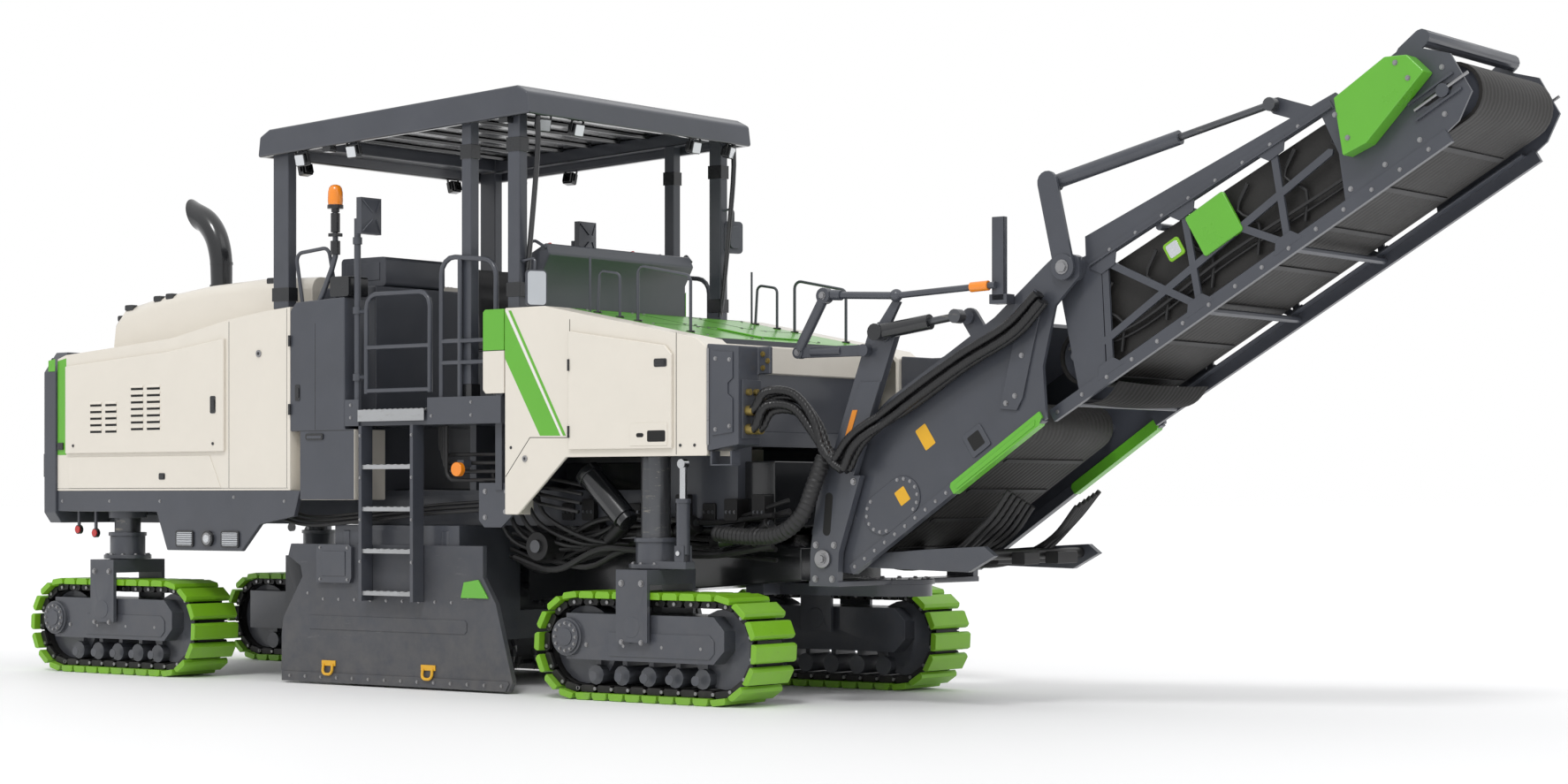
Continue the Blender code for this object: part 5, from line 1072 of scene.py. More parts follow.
def front_side(side, sign):
    near = lambda a, b, base=1.22: sorted((sign * (base + a), sign * (base + b)))
    green, white, seams, black, metal, brass, amber, rails, dark = (bmesh.new() for _ in range(9))
    add_prism(green, [(1.424, 2.640), (1.424, 2.316), (1.747, 1.778), (1.932, 1.776)], near(0.0, 0.0012))
    add_prism(white, [(1.432, 2.640), (1.450, 2.640), (1.950, 1.776), (1.936, 1.776)], near(0.0, 0.0010))
    add_prism(green, [(1.458, 2.640), (1.482, 2.640), (1.982, 1.776), (1.957, 1.776)], near(0.0, 0.0012))
    # near-black lines along the panel seams: painted shade in the gaps
    for (x0, z0), (x1, z1) in (((1.43, 1.50), (1.655, 1.767)), ((1.655, 1.767), (2.02, 1.762)), ((2.945, 1.64), (2.945, 2.44)),
                               ((2.016, 1.76), (2.016, 2.56))):
        run = Vector((x1 - x0, z1 - z0)).normalized() * 0.0025
        add_prism(seams, [(x0 - run.y, z0 + run.x), (x1 - run.y, z1 + run.x), (x1 + run.y, z1 - run.x), (x0 + run.y, z0 - run.x)],
                  near(0.0, 0.0006))
    add_disc(metal, (1.61, sign * 1.223, 1.623), 0.022, 0.008, 24)
    add_disc(black, (1.61, sign * 1.227, 1.623), 0.010, 0.004, 12)
    for x in (1.48, 2.98, 3.10):
        add_disc(black, (x, sign * 1.222, 1.70), 0.011, 0.006, 12)
    # end panel: bright strip, bolts, notched plate and bracket box
    add_box(metal, (3.204, 3.222), near(0.0, 0.006), (1.70, 2.33))
    add_prism(dark, [(3.25, 1.76), (3.42, 1.78), (3.42, 2.00), (3.38, 2.03), (3.38, 2.10), (3.42, 2.13), (3.42, 2.30), (3.25, 2.31)], near(0.0, 0.010))
    for x, z in ((3.28, 1.80), (3.28, 2.26), (3.395, 1.82), (3.395, 2.25)):
        add_bolt(metal, (x, sign * 1.230, z), (0, sign, 0), 0.011, 0.009)
    for x0, x1, z0, z1 in ((3.22, 3.40, 1.565, 1.575), (3.22, 3.235, 1.575, 1.66), (3.385, 3.40, 1.575, 1.66)):
        add_box(dark, (x0, x1), near(-0.10, -0.01), (z0, z1))
    add_box(dark, (3.46, 3.475), near(-0.225, -0.03), (1.74, 2.12))
    for z in (1.80, 1.92, 2.04):
        for y in (1.06, 1.14):
            add_rod(brass, (3.475, sign * y, z), (3.500, sign * y, z), 0.022, 12)
    for x, z in ((3.50, 2.20), (3.50, 2.29), (3.54, 2.245)):
        add_bolt(brass, (x, sign * 1.01, z), (0, sign, 0), 0.014, 0.012)
    # grab rails on the deck
    y = sign * 0.88
    deck = lambda x: 2.66 - 0.194 * (x - 1.78)
    grab_loop(rails, [(2.33, y, deck(2.33) - 0.01), (2.33, y, 2.93), (2.79, y, 2.84), (2.79, y, deck(2.79) - 0.01)], 0.011, 0.05)
    grab_loop(rails, [(1.97, y, deck(1.97) - 0.01), (1.99, y, 2.91), (2.17, y, 2.88), (2.17, y, deck(2.17) - 0.01)], 0.010, 0.04)
    add_rod(rails, (1.92, y + sign * 0.02, deck(1.92) - 0.01), (1.92, y + sign * 0.02, 3.01), 0.008, 10)
    for x in (2.33, 2.79, 1.97, 2.17):
        add_disc(black, (x, y, deck(x) + 0.003), 0.030, 0.012, 16, "Z")
    for name, bm, material, bevel in (("stripes", green, GREEN, 0), ("pinstripe", white, WHITE, 0), ("seams", seams, SHADE_AND_SCREEN_BLACK, 0),
                                      ("fittings", black, DARK_GLOSS, 0.002), ("bright_fittings", metal, STEEL, 0.001),
                                      ("brass_fittings", brass, BRASS, 0.001), ("grab_rails", rails, ANTHRACITE, 0), ("end_plates", dark, ANTHRACITE, 0.003)):
        piece(f"front_{side}_{name}", bm, material, "chassis", bevel=bevel)
    amber.free()
    # what rides on the door
    body = f"door_front_{side}"
    hole, plate, grip = bmesh.new(), bmesh.new(), bmesh.new()
    face = 1.2455
    near_door = lambda a, b: sorted((sign * (face + a), sign * (face + b)))
    add_prism(plate, [(2.57, 1.70), (2.89, 1.70), (2.89, 1.85), (2.59, 1.85), (2.57, 1.83)], near_door(0.0, 0.004))
    # the oval slot and the recess in the plate are near-black: painted shade
    add_prism(hole, oblong((2.64, 1.77), (2.675, 1.77), 0.014), near_door(0.004, 0.005))
    add_prism(hole, rounded_rect((2.72, 2.875), (1.725, 1.80), 0.012), near_door(0.004, 0.005))
    latch(grip, 2.83, 2.245, face, sign, 0.11, 0.055)
    for z in (1.80, 2.25):
        add_rod(grip, (2.028, sign * (face + 0.004), z - 0.04), (2.028, sign * (face + 0.004), z + 0.04), 0.009, 10)
    piece(f"{body}_plate", plate, CREAM, body, bevel=0.003)
    piece(f"{body}_recesses", hole, SHADE_AND_SCREEN_BLACK, body)
    piece(f"{body}_grips", grip, DARK_GLOSS, body, bevel=0.002)


def deck_details():
    """Seams, bolts and a hatch on the sloping green cover. The seams are near-black lines of painted shade."""
    seams, bolts, hatch = bmesh.new(), bmesh.new(), bmesh.new()
    slope = DATUM @ tilted(1.78, 2.6605, atan2(-0.26, 1.34))
    for x in (0.02, 0.62):
        add_box(seams, (x, x + 0.004), (-0.92, 0.92), (-0.001, 0.0008))
    for y in (-0.32, 0.32):
        add_box(seams, (0.02, 1.20), (y, y + 0.004), (-0.001, 0.0008))
    add_prism(hatch, rounded_rect((0.72, 1.12), (-0.24, 0.24), 0.03), (0.0, 0.012), "Z")
    for x in (0.08, 0.56, 0.68, 1.16):
        for y in (-0.86, -0.38, -0.26, 0.26, 0.38, 0.86):
            add_bolt(bolts, (x, y, 0.0), (0, 0, 1), 0.009, 0.007)
    piece("deck_seams", seams, SHADE_AND_SCREEN_BLACK, "chassis", slope)
    piece("deck_bolts", bolts, STEEL, "chassis", slope)
    piece("deck_hatch", hatch, GREEN, "chassis", slope, 0.004)
    band = bmesh.new()
    add_prism(band, [(3.0205, 2.19), (3.036, 2.20), (3.036, 2.375), (3.0205, 2.385)], (-0.92, 0.92))
    piece("deck_front_band", band, CREAM, "chassis", bevel=0.004)


def underside():
    """Filter, pipes and brackets under the platform and the front bodies."""
    can, pipes, plate, lamp, bolts = (bmesh.new() for _ in range(5))
    for sign in (RIGHT, LEFT):
        y = sign * 0.96
        add_rod(can, (1.98, y, 1.50), (2.28, y, 1.22), 0.085, 28)
        add_rod(can, (2.28, y, 1.22), (2.315, y, 1.188), 0.072, 28)
        add_rod(can, (1.945, y, 1.532), (1.985, y, 1.496), 0.094, 28)
        add_prism(plate, [(1.09, 1.20), (1.14, 1.15), (1.30, 1.15), (1.41, 1.24), (1.41, 1.46), (1.09, 1.46)], sorted((sign * 1.10, sign * 1.125)))
        for x, z in ((1.15, 1.22), (1.15, 1.40), (1.35, 1.40), (1.34, 1.26)):
            add_bolt(bolts, (x, sign * 1.125, z), (0, sign, 0), 0.014, 0.010)
        add_disc(lamp, (0.93, sign * 1.165, 1.555), 0.050, 0.045, 28)
        add_box(plate, (0.90, 0.96), sorted((sign * 1.06, sign * 1.142)), (1.57, 1.62))
        for k, (x, z) in enumerate(((0.62, 1.66), (0.66, 1.60), (0.70, 1.54), (0.74, 1.48))):
            run = [(x, sign * (1.02 + 0.02 * k), 1.86), (x, sign * (1.02 + 0.02 * k), z), (1.44, sign * (1.02 + 0.02 * k), z), (1.56, sign * (0.98 + 0.02 * k), z - 0.16),
                   (1.92, sign * (0.96 + 0.02 * k), z - 0.22)]
            add_tube(pipes, cornered(run, 0.07), 0.014, 10)
        for k in range(3):
            run = [(-1.18, sign * (1.00 + 0.03 * k), 1.33 - 0.03 * k), (-0.70, sign * (1.02 + 0.03 * k), 1.22 - 0.03 * k), (-0.10, sign * (1.04 + 0.03 * k), 1.245 - 0.03 * k), (0.55, sign * (1.03 + 0.03 * k), 1.30 - 0.03 * k), (1.05, sign * (1.00 + 0.03 * k), 1.33 - 0.03 * k)]
            add_tube(pipes, smooth_path(run, 0.05), 0.013, 10)
    piece("filter_canisters", can, DARK_GLOSS, "chassis", bevel=0.004)
    piece("frame_pipes", pipes, RUBBER, "chassis")
    piece("frame_brackets", plate, ANTHRACITE, "chassis", bevel=0.003)
    piece("frame_lamps", lamp, AMBER, "chassis", bevel=0.006)
    piece("frame_bolts", bolts, STEEL, "chassis")


def running_gear():
    """Pumps, manifolds, cross-members and hose runs under the front frame."""
    dark, gloss, lines, bright = (bmesh.new() for _ in range(4))
    add_prism(dark, [(0.95, 0.62), (3.40, 0.80), (3.40, 1.02), (2.9, 1.10), (0.95, 0.98)], (-0.46, 0.46))
    add_prism(dark, [(1.45, 1.10), (3.30, 1.16), (3.30, 1.60), (1.45, 1.60)], (-0.62, 0.62))
    for k in range(9):
        x = 1.55 + 0.21 * k
        for sign in (RIGHT, LEFT):
            y = sign * (0.66 + 0.05 * (k % 3))
            add_rod(gloss, (x, y, 1.06 + 0.05 * (k % 2)), (x + 0.14, y, 1.10 + 0.04 * (k % 3)), 0.055 + 0.012 * (k % 2), 16)
            add_prism(gloss, rounded_rect((x - 0.05, x + 0.06), (1.20, 1.32 + 0.03 * (k % 3)), 0.015), sorted((sign * 0.58, sign * (0.72 + 0.03 * (k % 2)))))
            for j in range(3):
                add_bolt(bright, (x - 0.03 + 0.035 * j, sign * (0.72 + 0.03 * (k % 2)), 1.26), (0, sign, 0), 0.009, 0.008)
            add_disc(bright, (x + 0.14, y, 1.10 + 0.04 * (k % 3)), 0.030, 0.014, 12, "X")
    for sign in (RIGHT, LEFT):
        for k in range(11):
            y, z = 0.70 + 0.035 * (k % 6), 0.84 + 0.055 * (k % 5)
            run = [(1.00 + 0.04 * k, sign * y, z + 0.10), (1.35 + 0.05 * k, sign * (y + 0.02), z + 0.02 * (k % 4)), (1.80 + 0.03 * k, sign * (y - 0.03), z + 0.12 + 0.02 * (k % 3)),
                   (2.25, sign * (y - 0.08), z + 0.16), (2.85, sign * (y - 0.12), z + 0.13), (3.30 + 0.02 * k, sign * (y - 0.10), z + 0.10 + 0.02 * k)]
            add_tube(lines, smooth_path(run, 0.06), 0.015 + 0.004 * (k % 3), 8)
        for k in range(5):
            x = 1.10 + 0.10 * k
            run = [(x, sign * 0.99, 1.56), (x + 0.03, sign * 0.98, 1.30), (x + 0.14, sign * 0.94, 1.06 + 0.03 * k), (x + 0.40, sign * 0.84, 0.98 + 0.02 * k), (x + 0.60, sign * 0.70, 1.04)]
            add_tube(lines, smooth_path(run, 0.05), 0.016, 8)
        add_rod(dark, (2.95, sign * 0.78, 1.08), (3.28, sign * 0.62, 1.14), 0.075, 20)
        add_disc(gloss, (1.50, sign * 0.88, 1.02), 0.10, 0.20, 24)
        add_disc(bright, (1.50, sign * 0.99, 1.02), 0.045, 0.02, 16)
    piece("primary_belt_trough", dark, DARK_GLOSS, "chassis", bevel=0.010)
    piece("pumps_and_valves", gloss, CHAIN, "chassis", bevel=0.004)
    piece("frame_hoses", lines, RUBBER, "chassis")
    piece("valve_bolts", bright, DARK_STEEL, "chassis")


for side, sign in SIDES:
    front_side(side, sign)
deck_details()
underside()
running_gear()


# ------------------------------------------------------------------ conveyor mount and hoses

def mount_details():
    dark, bright, red, orange, pale, slots = (bmesh.new() for _ in range(6))
    for sign in (RIGHT, LEFT):
        near = lambda a, b, base=0.82: sorted((sign * (base + a), sign * (base + b)))
        add_disc(pale, (3.85, sign * 0.832, 0.96), 0.060, 0.020, 32)
        add_bolt(bright, (3.85, sign * 0.842, 0.96), (0, sign, 0), 0.026, 0.020)
        for x, z in ((3.785, 0.83), (3.92, 0.83), (3.79, 1.46), (4.09, 1.46), (3.79, 1.05), (3.935, 1.05)):
            add_bolt(bright, (x, sign * 0.82, z), (0, sign, 0), 0.017, 0.014)
        # the slot in the mount plate is a near-black oblong: painted shade
        add_prism(slots, oblong((3.875, 1.14), (3.895, 1.36), 0.030), near(0.0, 0.001))
        add_prism(dark, [(3.92, 1.60), (4.12, 1.60), (4.31, 2.10), (4.15, 2.10)], near(0.0, 0.010))
        add_prism(orange, [(4.02, 1.72), (4.06, 1.72), (4.13, 1.92), (4.09, 1.92)], near(0.010, 0.014))
        add_disc(red, (3.99, sign * 0.835, 1.655), 0.022, 0.012, 20)
        add_disc(dark, (4.33, sign * 0.828, 2.41), 0.060, 0.020, 28)
        add_rod(dark, (3.78, sign * 0.850, 2.30), (4.02, sign * 0.850, 2.30), 0.034, 20)
        add_rod(bright, (3.70, sign * 0.850, 2.30), (3.78, sign * 0.850, 2.30), 0.016, 16)
        add_disc(dark, (3.68, sign * 0.850, 2.30), 0.040, 0.060, 20)
        add_disc(dark, (4.20, sign * 0.850, 2.30), 0.040, 0.055, 20)
        if sign < 0:
            add_rod(dark, (3.69, -0.868, 2.32), (3.895, -0.868, 2.655), 0.034, 20)
            add_disc(dark, (3.895, -0.866, 2.66), 0.052, 0.060, 24)
            add_bolt(bright, (3.895, -0.896, 2.66), (0, -1, 0), 0.020, 0.012)
            add_bolt(bright, (3.68, -0.880, 2.30), (0, -1, 0), 0.018, 0.012)
            add_prism(dark, [(4.28, 2.44), (4.38, 2.44), (4.47, 2.60), (4.42, 2.62)], (-0.845, -0.815))
    for k in range(12):
        turn = 2 * pi * k / 12
        add_bolt(bright, (3.85 + 0.222 * cos(turn), 0.222 * sin(turn), 0.8155), (0, 0, 1), 0.013, 0.012)
    for name, bm, material, bevel in (("mount_plates", dark, ANTHRACITE, 0.003), ("mount_bolts", bright, STEEL, 0), ("mount_reflectors", red, RED, 0.002),
                                      ("mount_markers", orange, ORANGE, 0.001), ("mount_pivots", pale, STEEL, 0.004), ("mount_slots", slots, SHADE_AND_SCREEN_BLACK, 0)):
        piece(name, bm, material, "slew_mount", bevel=bevel)


def row(x, y, z):
    return (x + DATUM_X, y, z)


def hoses():
    for sign, name in ((RIGHT, "right"), (LEFT, "left")):
        arch, climb, collars = bmesh.new(), bmesh.new(), bmesh.new()
        for k, (y0, z0, y1, lift) in enumerate(((1.14, 1.92, 0.935, 0.04), (1.06, 1.92, 0.870, 0.00), (1.14, 1.80, 0.935, -0.05), (1.06, 1.80, 0.870, -0.08))):
            low = 0.065 * (k > 1)
            path = smooth_path([(3.50, sign * y0, z0), (3.54, sign * y0, z0 + 0.02), (3.60, sign * (y0 - 0.03), 2.00 + lift), (3.72, sign * (y1 + 0.05), 1.99 + lift),
                                (3.84, sign * y1, 1.84 + lift), (3.93 + low, sign * y1, 1.66 - low), (4.02 + low, sign * y1, 1.60 - low)], 0.02)
            add_tube(arch, path, 0.031, 12, (0.09, 0.045))
            add_rod(collars, (3.475, sign * y0, z0), (3.53, sign * y0, z0), 0.034, 14)
            start = Vector((4.02 + low, sign * y1, 1.60 - low))
            run = [LOWER @ Vector(p) for p in ((0.72, sign * (y1 - 0.02), 0.50 - 0.06 * (k > 1)), (1.10, sign * (0.79 + 0.065 * (k % 2)), 0.50 - 0.065 * (k > 1)),
                                               (1.60, sign * (0.79 + 0.062 * (k % 2)), 0.47 - 0.065 * (k > 1)), (2.00, sign * (0.79 + 0.062 * (k % 2)), 0.42 - 0.065 * (k > 1)),
                                               (2.28, sign * (0.79 + 0.05 * (k % 2)), 0.46 - 0.06 * (k > 1)))]
            run = [start] + [Vector((p.x - DATUM_X, p.y, p.z)) for p in run]
            add_tube(climb, smooth_path(run, 0.03), 0.028, 12, (0.08, 0.045))
        big = bmesh.new()
        path = smooth_path([(3.02, sign * 0.90, 1.12), (3.32, sign * 0.92, 1.10), (3.58, sign * 0.94, 1.12), (3.76, sign * 0.94, 1.24), (3.84, sign * 0.91, 1.44), (3.90, sign * 0.885, 1.62)], 0.012)
        add_tube(big, path, 0.056, 20, (0.13, 0.036))
        made = piece(f"hose_arch_{name}", arch, HOSE, None)
        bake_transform(made)
        made = piece(f"hose_climb_{name}", climb, HOSE, None)
        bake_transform(made)
        made = piece(f"suction_hose_{name}", big, RUBBER, None)
        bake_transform(made)
        piece(f"hose_collars_{name}", collars, BRASS, "chassis", bevel=0.002)


def sensing_rod():
    """The thin link rod from the stay to the lower section's bracket, jointed in the middle."""
    rod, amber, bracket = bmesh.new(), bmesh.new(), bmesh.new()
    y = -0.855
    add_rod(rod, (3.93, y, 2.664), (4.44, y, 2.640), 0.024, 16)
    add_rod(rod, (3.945, y, 2.664), (4.02, y, 2.660), 0.034, 16)
    add_rod(rod, (4.46, y, 2.640), (5.20, y, 2.676), 0.021, 16)
    bmesh.ops.create_uvsphere(rod, u_segments=20, v_segments=12, radius=0.042, matrix=Matrix.Translation((4.45, y, 2.64)))
    made = piece("link_rod", rod, ANTHRACITE, None)
    row(4.40, y, 2.64)
    row(5.10, y, 2.67)
    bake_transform(made)
    add_rod(amber, (5.02, y, 2.668), (5.15, y, 2.674), 0.032, 20)
    piece("link_rod_sleeve", amber, AMBER, "lower_section", bevel=0.002)
    add_box(bracket, (5.16, 5.25), (-0.835, -0.828), (2.58, 3.10))
    add_box(bracket, (5.16, 5.167), (-0.835, -0.795), (2.58, 3.10))
    add_box(bracket, (5.243, 5.25), (-0.835, -0.795), (2.58, 3.10))
    add_box(bracket, (5.14, 5.27), (-0.835, -0.742), (2.56, 2.62))
    piece("upright_bracket", bracket, ANTHRACITE, "lower_section", bevel=0.003)


def hopper_gear():
    """The feed hopper's lower frame, its rollers and hoses, under the conveyor's foot."""
    dark, lines, gloss = bmesh.new(), bmesh.new(), bmesh.new()
    for sign in (RIGHT, LEFT):
        add_prism(dark, [(4.00, 0.905), (4.86, 0.885), (5.06, 0.99), (4.98, 1.05), (4.60, 1.03), (4.16, 1.00)], sorted((sign * 0.60, sign * 0.655)))
        for k in range(6):
            y = sign * (0.28 + 0.06 * k)
            run = [(4.02, y, 0.93), (4.30, y, 0.90 + 0.02 * (k % 3)), (4.62, y * 0.96, 0.95 + 0.02 * (k % 2)), (4.92, y * 0.92, 1.10 + 0.02 * k), (5.10, y * 0.94, 1.30 + 0.02 * k)]
            add_tube(lines, smooth_path(run, 0.05), 0.017, 8)
    for k in range(5):
        x = 4.12 + 0.20 * k
        add_rod(gloss, (x, -0.60, 0.945 + 0.012 * k), (x, 0.60, 0.945 + 0.012 * k), 0.034, 16)
        add_prism(gloss, rounded_rect((x + 0.04, x + 0.14), (0.93, 1.01), 0.012), (-0.30, -0.12))
        add_prism(gloss, rounded_rect((x + 0.04, x + 0.14), (0.93, 1.01), 0.012), (0.10, 0.34))
    piece("hopper_frame", dark, ANTHRACITE, "lower_section", bevel=0.004)
    piece("hopper_hoses", lines, RUBBER, "lower_section")
    piece("hopper_rollers", gloss, CHAIN, "lower_section", bevel=0.003)


mount_details()
hoses()
sensing_rod()
hopper_gear()


# ------------------------------------------------------------------ conveyor, lower half

def lower_details():
    green, dark, bolts, hole, yellow, cleats, bright = (bmesh.new() for _ in range(7))
    for sign in (RIGHT, LEFT):
        near = lambda a, b, base=0.74: sorted((sign * (base + a), sign * (base + b)))
        add_prism(green, [(1.04, -0.192), (1.80, -0.192), (1.85, -0.16), (1.85, -0.12), (1.06, -0.12), (1.04, -0.14)], sorted((sign * 0.686, sign * 0.758)))
        add_prism(green, [(1.08, -0.178), (1.78, -0.178), (1.80, -0.150), (1.08, -0.150)], sorted((sign * 0.758, sign * 0.764)))
        add_prism(dark, oblong((0.50, 0.016), (0.70, 0.016), 0.135, 12), near(0.0, 0.008))
        for k in range(14):
            turn = 2 * pi * k / 14
            x = 0.60 + (0.10 if cos(turn) > 0 else -0.10) + 0.115 * cos(turn)
            add_bolt(bolts, (x, sign * 0.748, 0.016 + 0.115 * sin(turn)), (0, sign, 0), 0.009, 0.007)
        add_prism(dark, rounded_rect((1.285, 1.445), (-0.085, 0.075), 0.015), near(0.0, 0.010))
        # the opening in the plate is a near-black sheet: painted shade
        add_prism(hole, rounded_rect((1.315, 1.415), (-0.055, 0.045), 0.010), near(0.010, 0.0105))
        add_prism(yellow, rounded_rect((1.01, 1.10), (0.16, 0.31), 0.008), near(0.0, 0.0016))
        add_prism(yellow, rounded_rect((0.66, 0.745), (-0.03, 0.07), 0.006), near(0.008, 0.0096))
        add_prism(dark, [(1.62, 0.06), (1.72, -0.02), (1.80, 0.02), (2.26, 0.44), (2.24, 0.53), (2.15, 0.54)], near(0.0, 0.016))
        for x, z in ((1.68, 0.06), (1.76, 0.06), (2.10, 0.40), (2.20, 0.48), (1.94, 0.24)):
            add_bolt(bolts, (x, sign * 0.756, z), (0, sign, 0), 0.013, 0.011)
        for k in range(10):
            add_bolt(bolts, (0.14 + 0.095 * k, sign * 0.752, -0.152), (0, sign, 0), 0.009, 0.008)
            add_bolt(bolts, (0.35 + 0.16 * k, sign * 0.74, 0.44 + 0.045 * sin(k * 0.34)), (0, sign, 0), 0.008, 0.006)
        add_disc(dark, (2.494, sign * (0.745 if sign > 0 else 0.778), 0.509), 0.080, 0.012, 36)
        add_bolt(bright, (2.494, sign * (0.751 if sign > 0 else 0.784), 0.509), (0, sign, 0), 0.034, 0.018)
        add_prism(dark, [(0.10, 0.10), (0.32, 0.10), (0.34, 0.30), (0.12, 0.26)], near(0.0, 0.006))
        for x, z in ((0.16, 0.14), (0.29, 0.14), (0.30, 0.26), (0.16, 0.235)):
            add_bolt(bolts, (x, sign * 0.746, z), (0, sign, 0), 0.012, 0.009)
    for k in range(4):
        u = 0.30 + 0.34 * k
        for v in (-0.1205, 0.1605):
            add_box(cleats, (u - 0.018, u + 0.018), (-0.46, 0.46), sorted((v, v + (0.008 if v > 0 else -0.008))))
    # the cover over the belt has seams and bolts
    for k in range(5):
        u = 0.40 + 0.36 * k
        v = 0.59 if 0.9 < u < 1.0 else (0.50 + 0.09 * (u - 0.28) / 0.67 if u < 0.95 else 0.59 - 0.04 * (u - 0.95) / 0.95)
        # the cover's seams are near-black strips of painted shade
        add_box(hole, (u, u + 0.006), (-0.72, 0.72), (v - 0.001, v + 0.0015))
        for y in (-0.62, -0.2, 0.2, 0.62):
            add_bolt(bolts, (u + 0.04, y, v), (0, 0, 1), 0.010, 0.008)
    for name, bm, material, bevel in (("rails", green, GREEN, 0.010), ("side_plates", dark, ANTHRACITE, 0.003), ("bolts", bolts, STEEL, 0),
                                      ("openings", hole, SHADE_AND_SCREEN_BLACK, 0), ("blank_plates", yellow, YELLOW, 0), ("cleats", cleats, RUBBER, 0.002),
                                      ("fold_bolts", bright, STEEL, 0)):
        piece(f"lower_{name}", bm, material, "lower_section", LOWER, bevel)


# ------------------------------------------------------------------ conveyor, upper half

def upper_details():
    green, dark, bolts, hole, lamp, lime, cleats, pipes, flap = (bmesh.new() for _ in range(9))
    for sign in (RIGHT, LEFT):
        near = lambda a, b, base=0.64: sorted((sign * (base + a), sign * (base + b)))
        for k in range(15):
            u = -0.55 + 0.205 * k
            if u < 2.4:
                add_bolt(bolts, (u, sign * 0.64, -0.70), (0, sign, 0), 0.010, 0.008)
            if 0.15 < u < 1.9:
                add_bolt(bolts, (u, sign * 0.64, -0.03 - 0.054 * (u - 0.1)), (0, sign, 0), 0.009, 0.007)
        for u, v in ((0.20, -0.08), (0.82, -0.10), (1.50, -0.13), (-0.10, -0.67), (0.62, -0.67), (1.30, -0.67)):
            w = 0.055
            outline = [(u - 2 * w, v + (0.02 if v > -0.4 else -0.02)), (u + 2 * w, v + (0.02 if v > -0.4 else -0.02)), (u + w, v + (-w if v > -0.4 else w)), (u - w, v + (-w if v > -0.4 else w))]
            add_prism(dark, outline, near(-0.009, 0.002))
        # the slot is a near-black oblong: painted shade
        add_prism(hole, oblong((2.44, -0.46), (2.60, -0.46), 0.022), near(-0.008, -0.0072))
        add_prism(dark, [(2.34, -0.52), (2.66, -0.52), (2.66, -0.505), (2.34, -0.505)], near(-0.008, 0.010))
        add_prism(dark, [(2.34, -0.415), (2.66, -0.415), (2.66, -0.40), (2.34, -0.40)], near(-0.008, 0.010))
        add_rod(bolts, (2.36, sign * 0.645, -0.46), (2.74, sign * 0.645, -0.46), 0.010, 10)
        add_disc(dark, (2.56, sign * 0.644, -0.46), 0.040, 0.022, 24)
        for u, v in ((1.80, -0.62), (2.05, -0.62), (2.30, -0.62), (2.50, -0.58), (2.30, -0.20), (2.62, -0.34)):
            add_bolt(bolts, (u, sign * 0.632, v), (0, sign, 0), 0.012, 0.010)
        for k in range(2):
            y = sign * (0.610 - 0.034 * k)
            add_tube(pipes, smooth_path([(-0.30, y, -0.40 - 0.05 * k), (0.2, y, -0.52 - 0.03 * k), (0.9, y, -0.50 - 0.03 * k), (1.6, y, -0.53 - 0.03 * k), (2.2, y, -0.55 - 0.02 * k)], 0.06), 0.011, 8)
        add_prism(dark, [(0.10, -0.052), (1.94, -0.150), (1.94, -0.140), (0.10, -0.040)], sorted((sign * 0.600, sign * 0.655)))
    for sign in (RIGHT, LEFT):
        add_prism(flap, [(-0.30, -0.625), (2.05, -0.625), (2.05, -0.20), (1.80, -0.17), (0.16, -0.10), (-0.16, -0.30)], sorted((sign * 0.545, sign * 0.553)))
        add_box(dark, (-0.50, 2.40), sorted((sign * 0.53, sign * 0.612)), (-0.668, -0.658))
        for k in range(6):
            u = 0.0 + 0.36 * k
            add_tube(pipes, smooth_path([(u, sign * 0.575, -0.60), (u + 0.10, sign * 0.585, -0.45), (u + 0.02, sign * 0.58, -0.30), (u + 0.16, sign * 0.585, -0.20)], 0.05), 0.012, 8)
    add_prism(green, rounded_rect((0.80, 1.10), (-0.44, -0.16), 0.02), (-0.645, -0.612))
    add_prism(lime, rounded_rect((0.59, 0.71), (-0.345, -0.225), 0.02), (-0.650, -0.636))
    add_prism(lamp, rounded_rect((0.607, 0.693), (-0.328, -0.242), 0.014), (-0.653, -0.649))
    add_box(dark, (0.63, 0.67), (-0.636, -0.60), (-0.30, -0.27))
    for u, v in ((1.98, -0.24), (1.98, -0.40), (2.44, -0.20), (2.46, -0.32)):
        add_bolt(bolts, (u, -0.7623, v), (0, -1, 0), 0.012, 0.009)
    for k in range(7):
        u = -0.22 + 0.42 * k
        for v in (-0.6405, -0.2795):
            add_box(cleats, (u - 0.020, u + 0.020), (-0.46, 0.46), sorted((v, v + (0.009 if v > -0.4 else -0.009))))
    # rubber flap under the lower chord's cross-bar, sagging a little between its ends
    rows = []
    for i in range(9):
        drop = i / 8
        rows.append([flap.verts.new((-0.42 + 0.30 * drop, -0.56 + 1.12 * j / 16, -0.718 - 0.05 * sin(pi * drop) - 0.018 * sin(pi * j / 16) - 0.02 * drop)) for j in range(17)])
    for a, b in zip(rows, rows[1:]):
        for j in range(16):
            flap.faces.new((a[j], a[j + 1], b[j + 1], b[j]))
    solid = bmesh.ops.solidify(flap, geom=list(flap.faces), thickness=0.006)
    bmesh.ops.recalc_face_normals(flap, faces=flap.faces)
    add_rod(dark, (-0.42, -0.60, -0.722), (-0.42, 0.60, -0.722), 0.018, 12)
    for name, bm, material, bevel in (("box", green, GREEN, 0.010), ("plates", dark, ANTHRACITE, 0.002), ("bolts", bolts, STEEL, 0),
                                      ("slots", hole, SHADE_AND_SCREEN_BLACK, 0), ("lamp", lamp, LAMP, 0.002), ("lamp_frame", lime, SHOE_GREEN, 0.004),
                                      ("cleats", cleats, RUBBER, 0.002), ("pipes", pipes, RUBBER, 0), ("flap", flap, BELT, 0)):
        piece(f"upper_{name}", bm, material, "upper_section", UPPER, bevel)


lower_details()
upper_details()


# ------------------------------------------------------------------ floor, light and camera

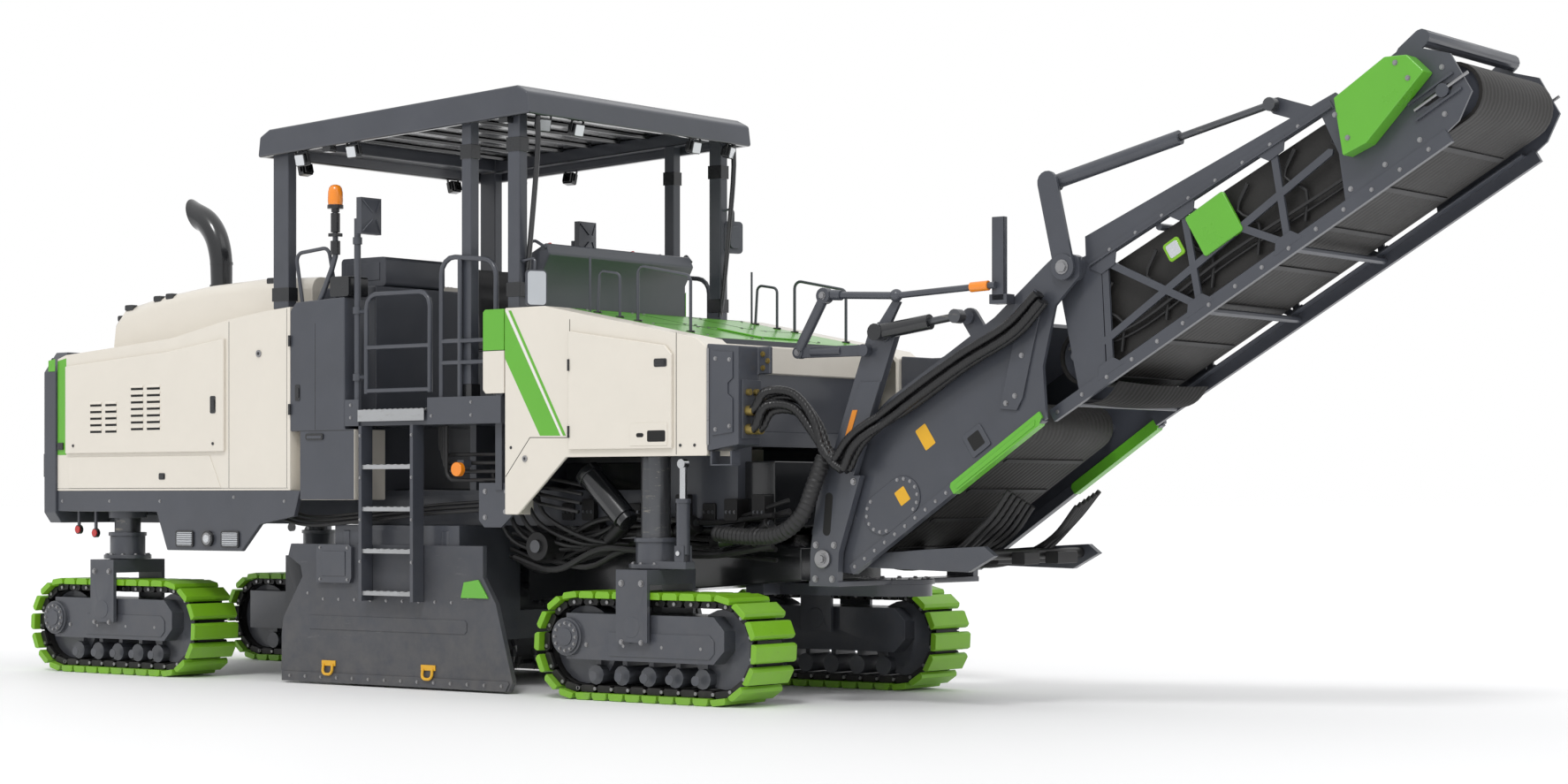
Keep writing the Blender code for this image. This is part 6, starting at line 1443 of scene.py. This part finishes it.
def floor():
    bm = bmesh.new()
    bmesh.ops.create_circle(bm, cap_ends=True, segments=96, radius=400.0)
    mesh = bpy.data.meshes.new("studio_floor")
    bm.to_mesh(mesh)
    bm.free()
    made = bpy.data.objects.new("studio_floor", mesh)
    bpy.context.scene.collection.objects.link(made)
    made.location = (0, 0, -0.002)
    surface = bpy.data.materials.new("studio_floor")
    surface.use_nodes = True
    shader = surface.node_tree.nodes["Principled BSDF"]
    shader.inputs["Base Color"].default_value = (0.93, 0.93, 0.935, 1)
    shader.inputs["Roughness"].default_value = 0.55
    shader.inputs["Specular IOR Level"].default_value = 0.2
    mesh.materials.append(surface)


def studio_world():
    world = bpy.data.worlds.new("studio")
    world.use_nodes = True
    tree = world.node_tree
    background = tree.nodes["Background"]
    path = tree.nodes.new("ShaderNodeLightPath")
    seen = number(tree, "ADD", path.outputs["Is Camera Ray"], path.outputs["Is Transmission Ray"])
    seen.node.use_clamp = True
    split = add(tree, "ShaderNodeSeparateXYZ")
    tree.links.new(tree.nodes.new("ShaderNodeTexCoord").outputs["Generated"], split.inputs[0])
    rise = number(tree, "MULTIPLY_ADD", split.outputs["Z"], 0.55, 0.52)
    rise.node.use_clamp = True
    shade = mix_colour(tree, rise, (0.30, 0.31, 0.33, 1.0), (1.0, 1.0, 1.0, 1.0))
    tree.links.new(mix_colour(tree, seen, shade, (1.0, 1.0, 1.0, 1.0)), background.inputs["Color"])
    background.inputs["Strength"].default_value = 1.0
    bpy.context.scene.world = world


def sun(name, strength, angle, turn):
    light = bpy.data.lights.new(name, "SUN")
    light.energy, light.angle = strength, radians(angle)
    made = bpy.data.objects.new(name, light)
    made.rotation_euler = [radians(a) for a in turn]
    bpy.context.scene.collection.objects.link(made)


floor()
studio_world()
sun("key", 0.95, 12, (40, 0, 24))
sun("fill", 0.25, 40, (62, 0, 95))

camera = bpy.data.cameras.new("camera")
camera.lens, camera.sensor_width, camera.shift_y = 68.28, 36.0, 0.0671
camera.clip_end = 600.0
eye = bpy.data.objects.new("camera", camera)
eye.location = (15.32 + DATUM_X, -16.305, 1.36)
eye.rotation_euler = (radians(90), 0, radians(37.29))
bpy.context.scene.collection.objects.link(eye)
bpy.context.scene.camera = eye
bpy.context.scene.view_settings.view_transform = "Standard"
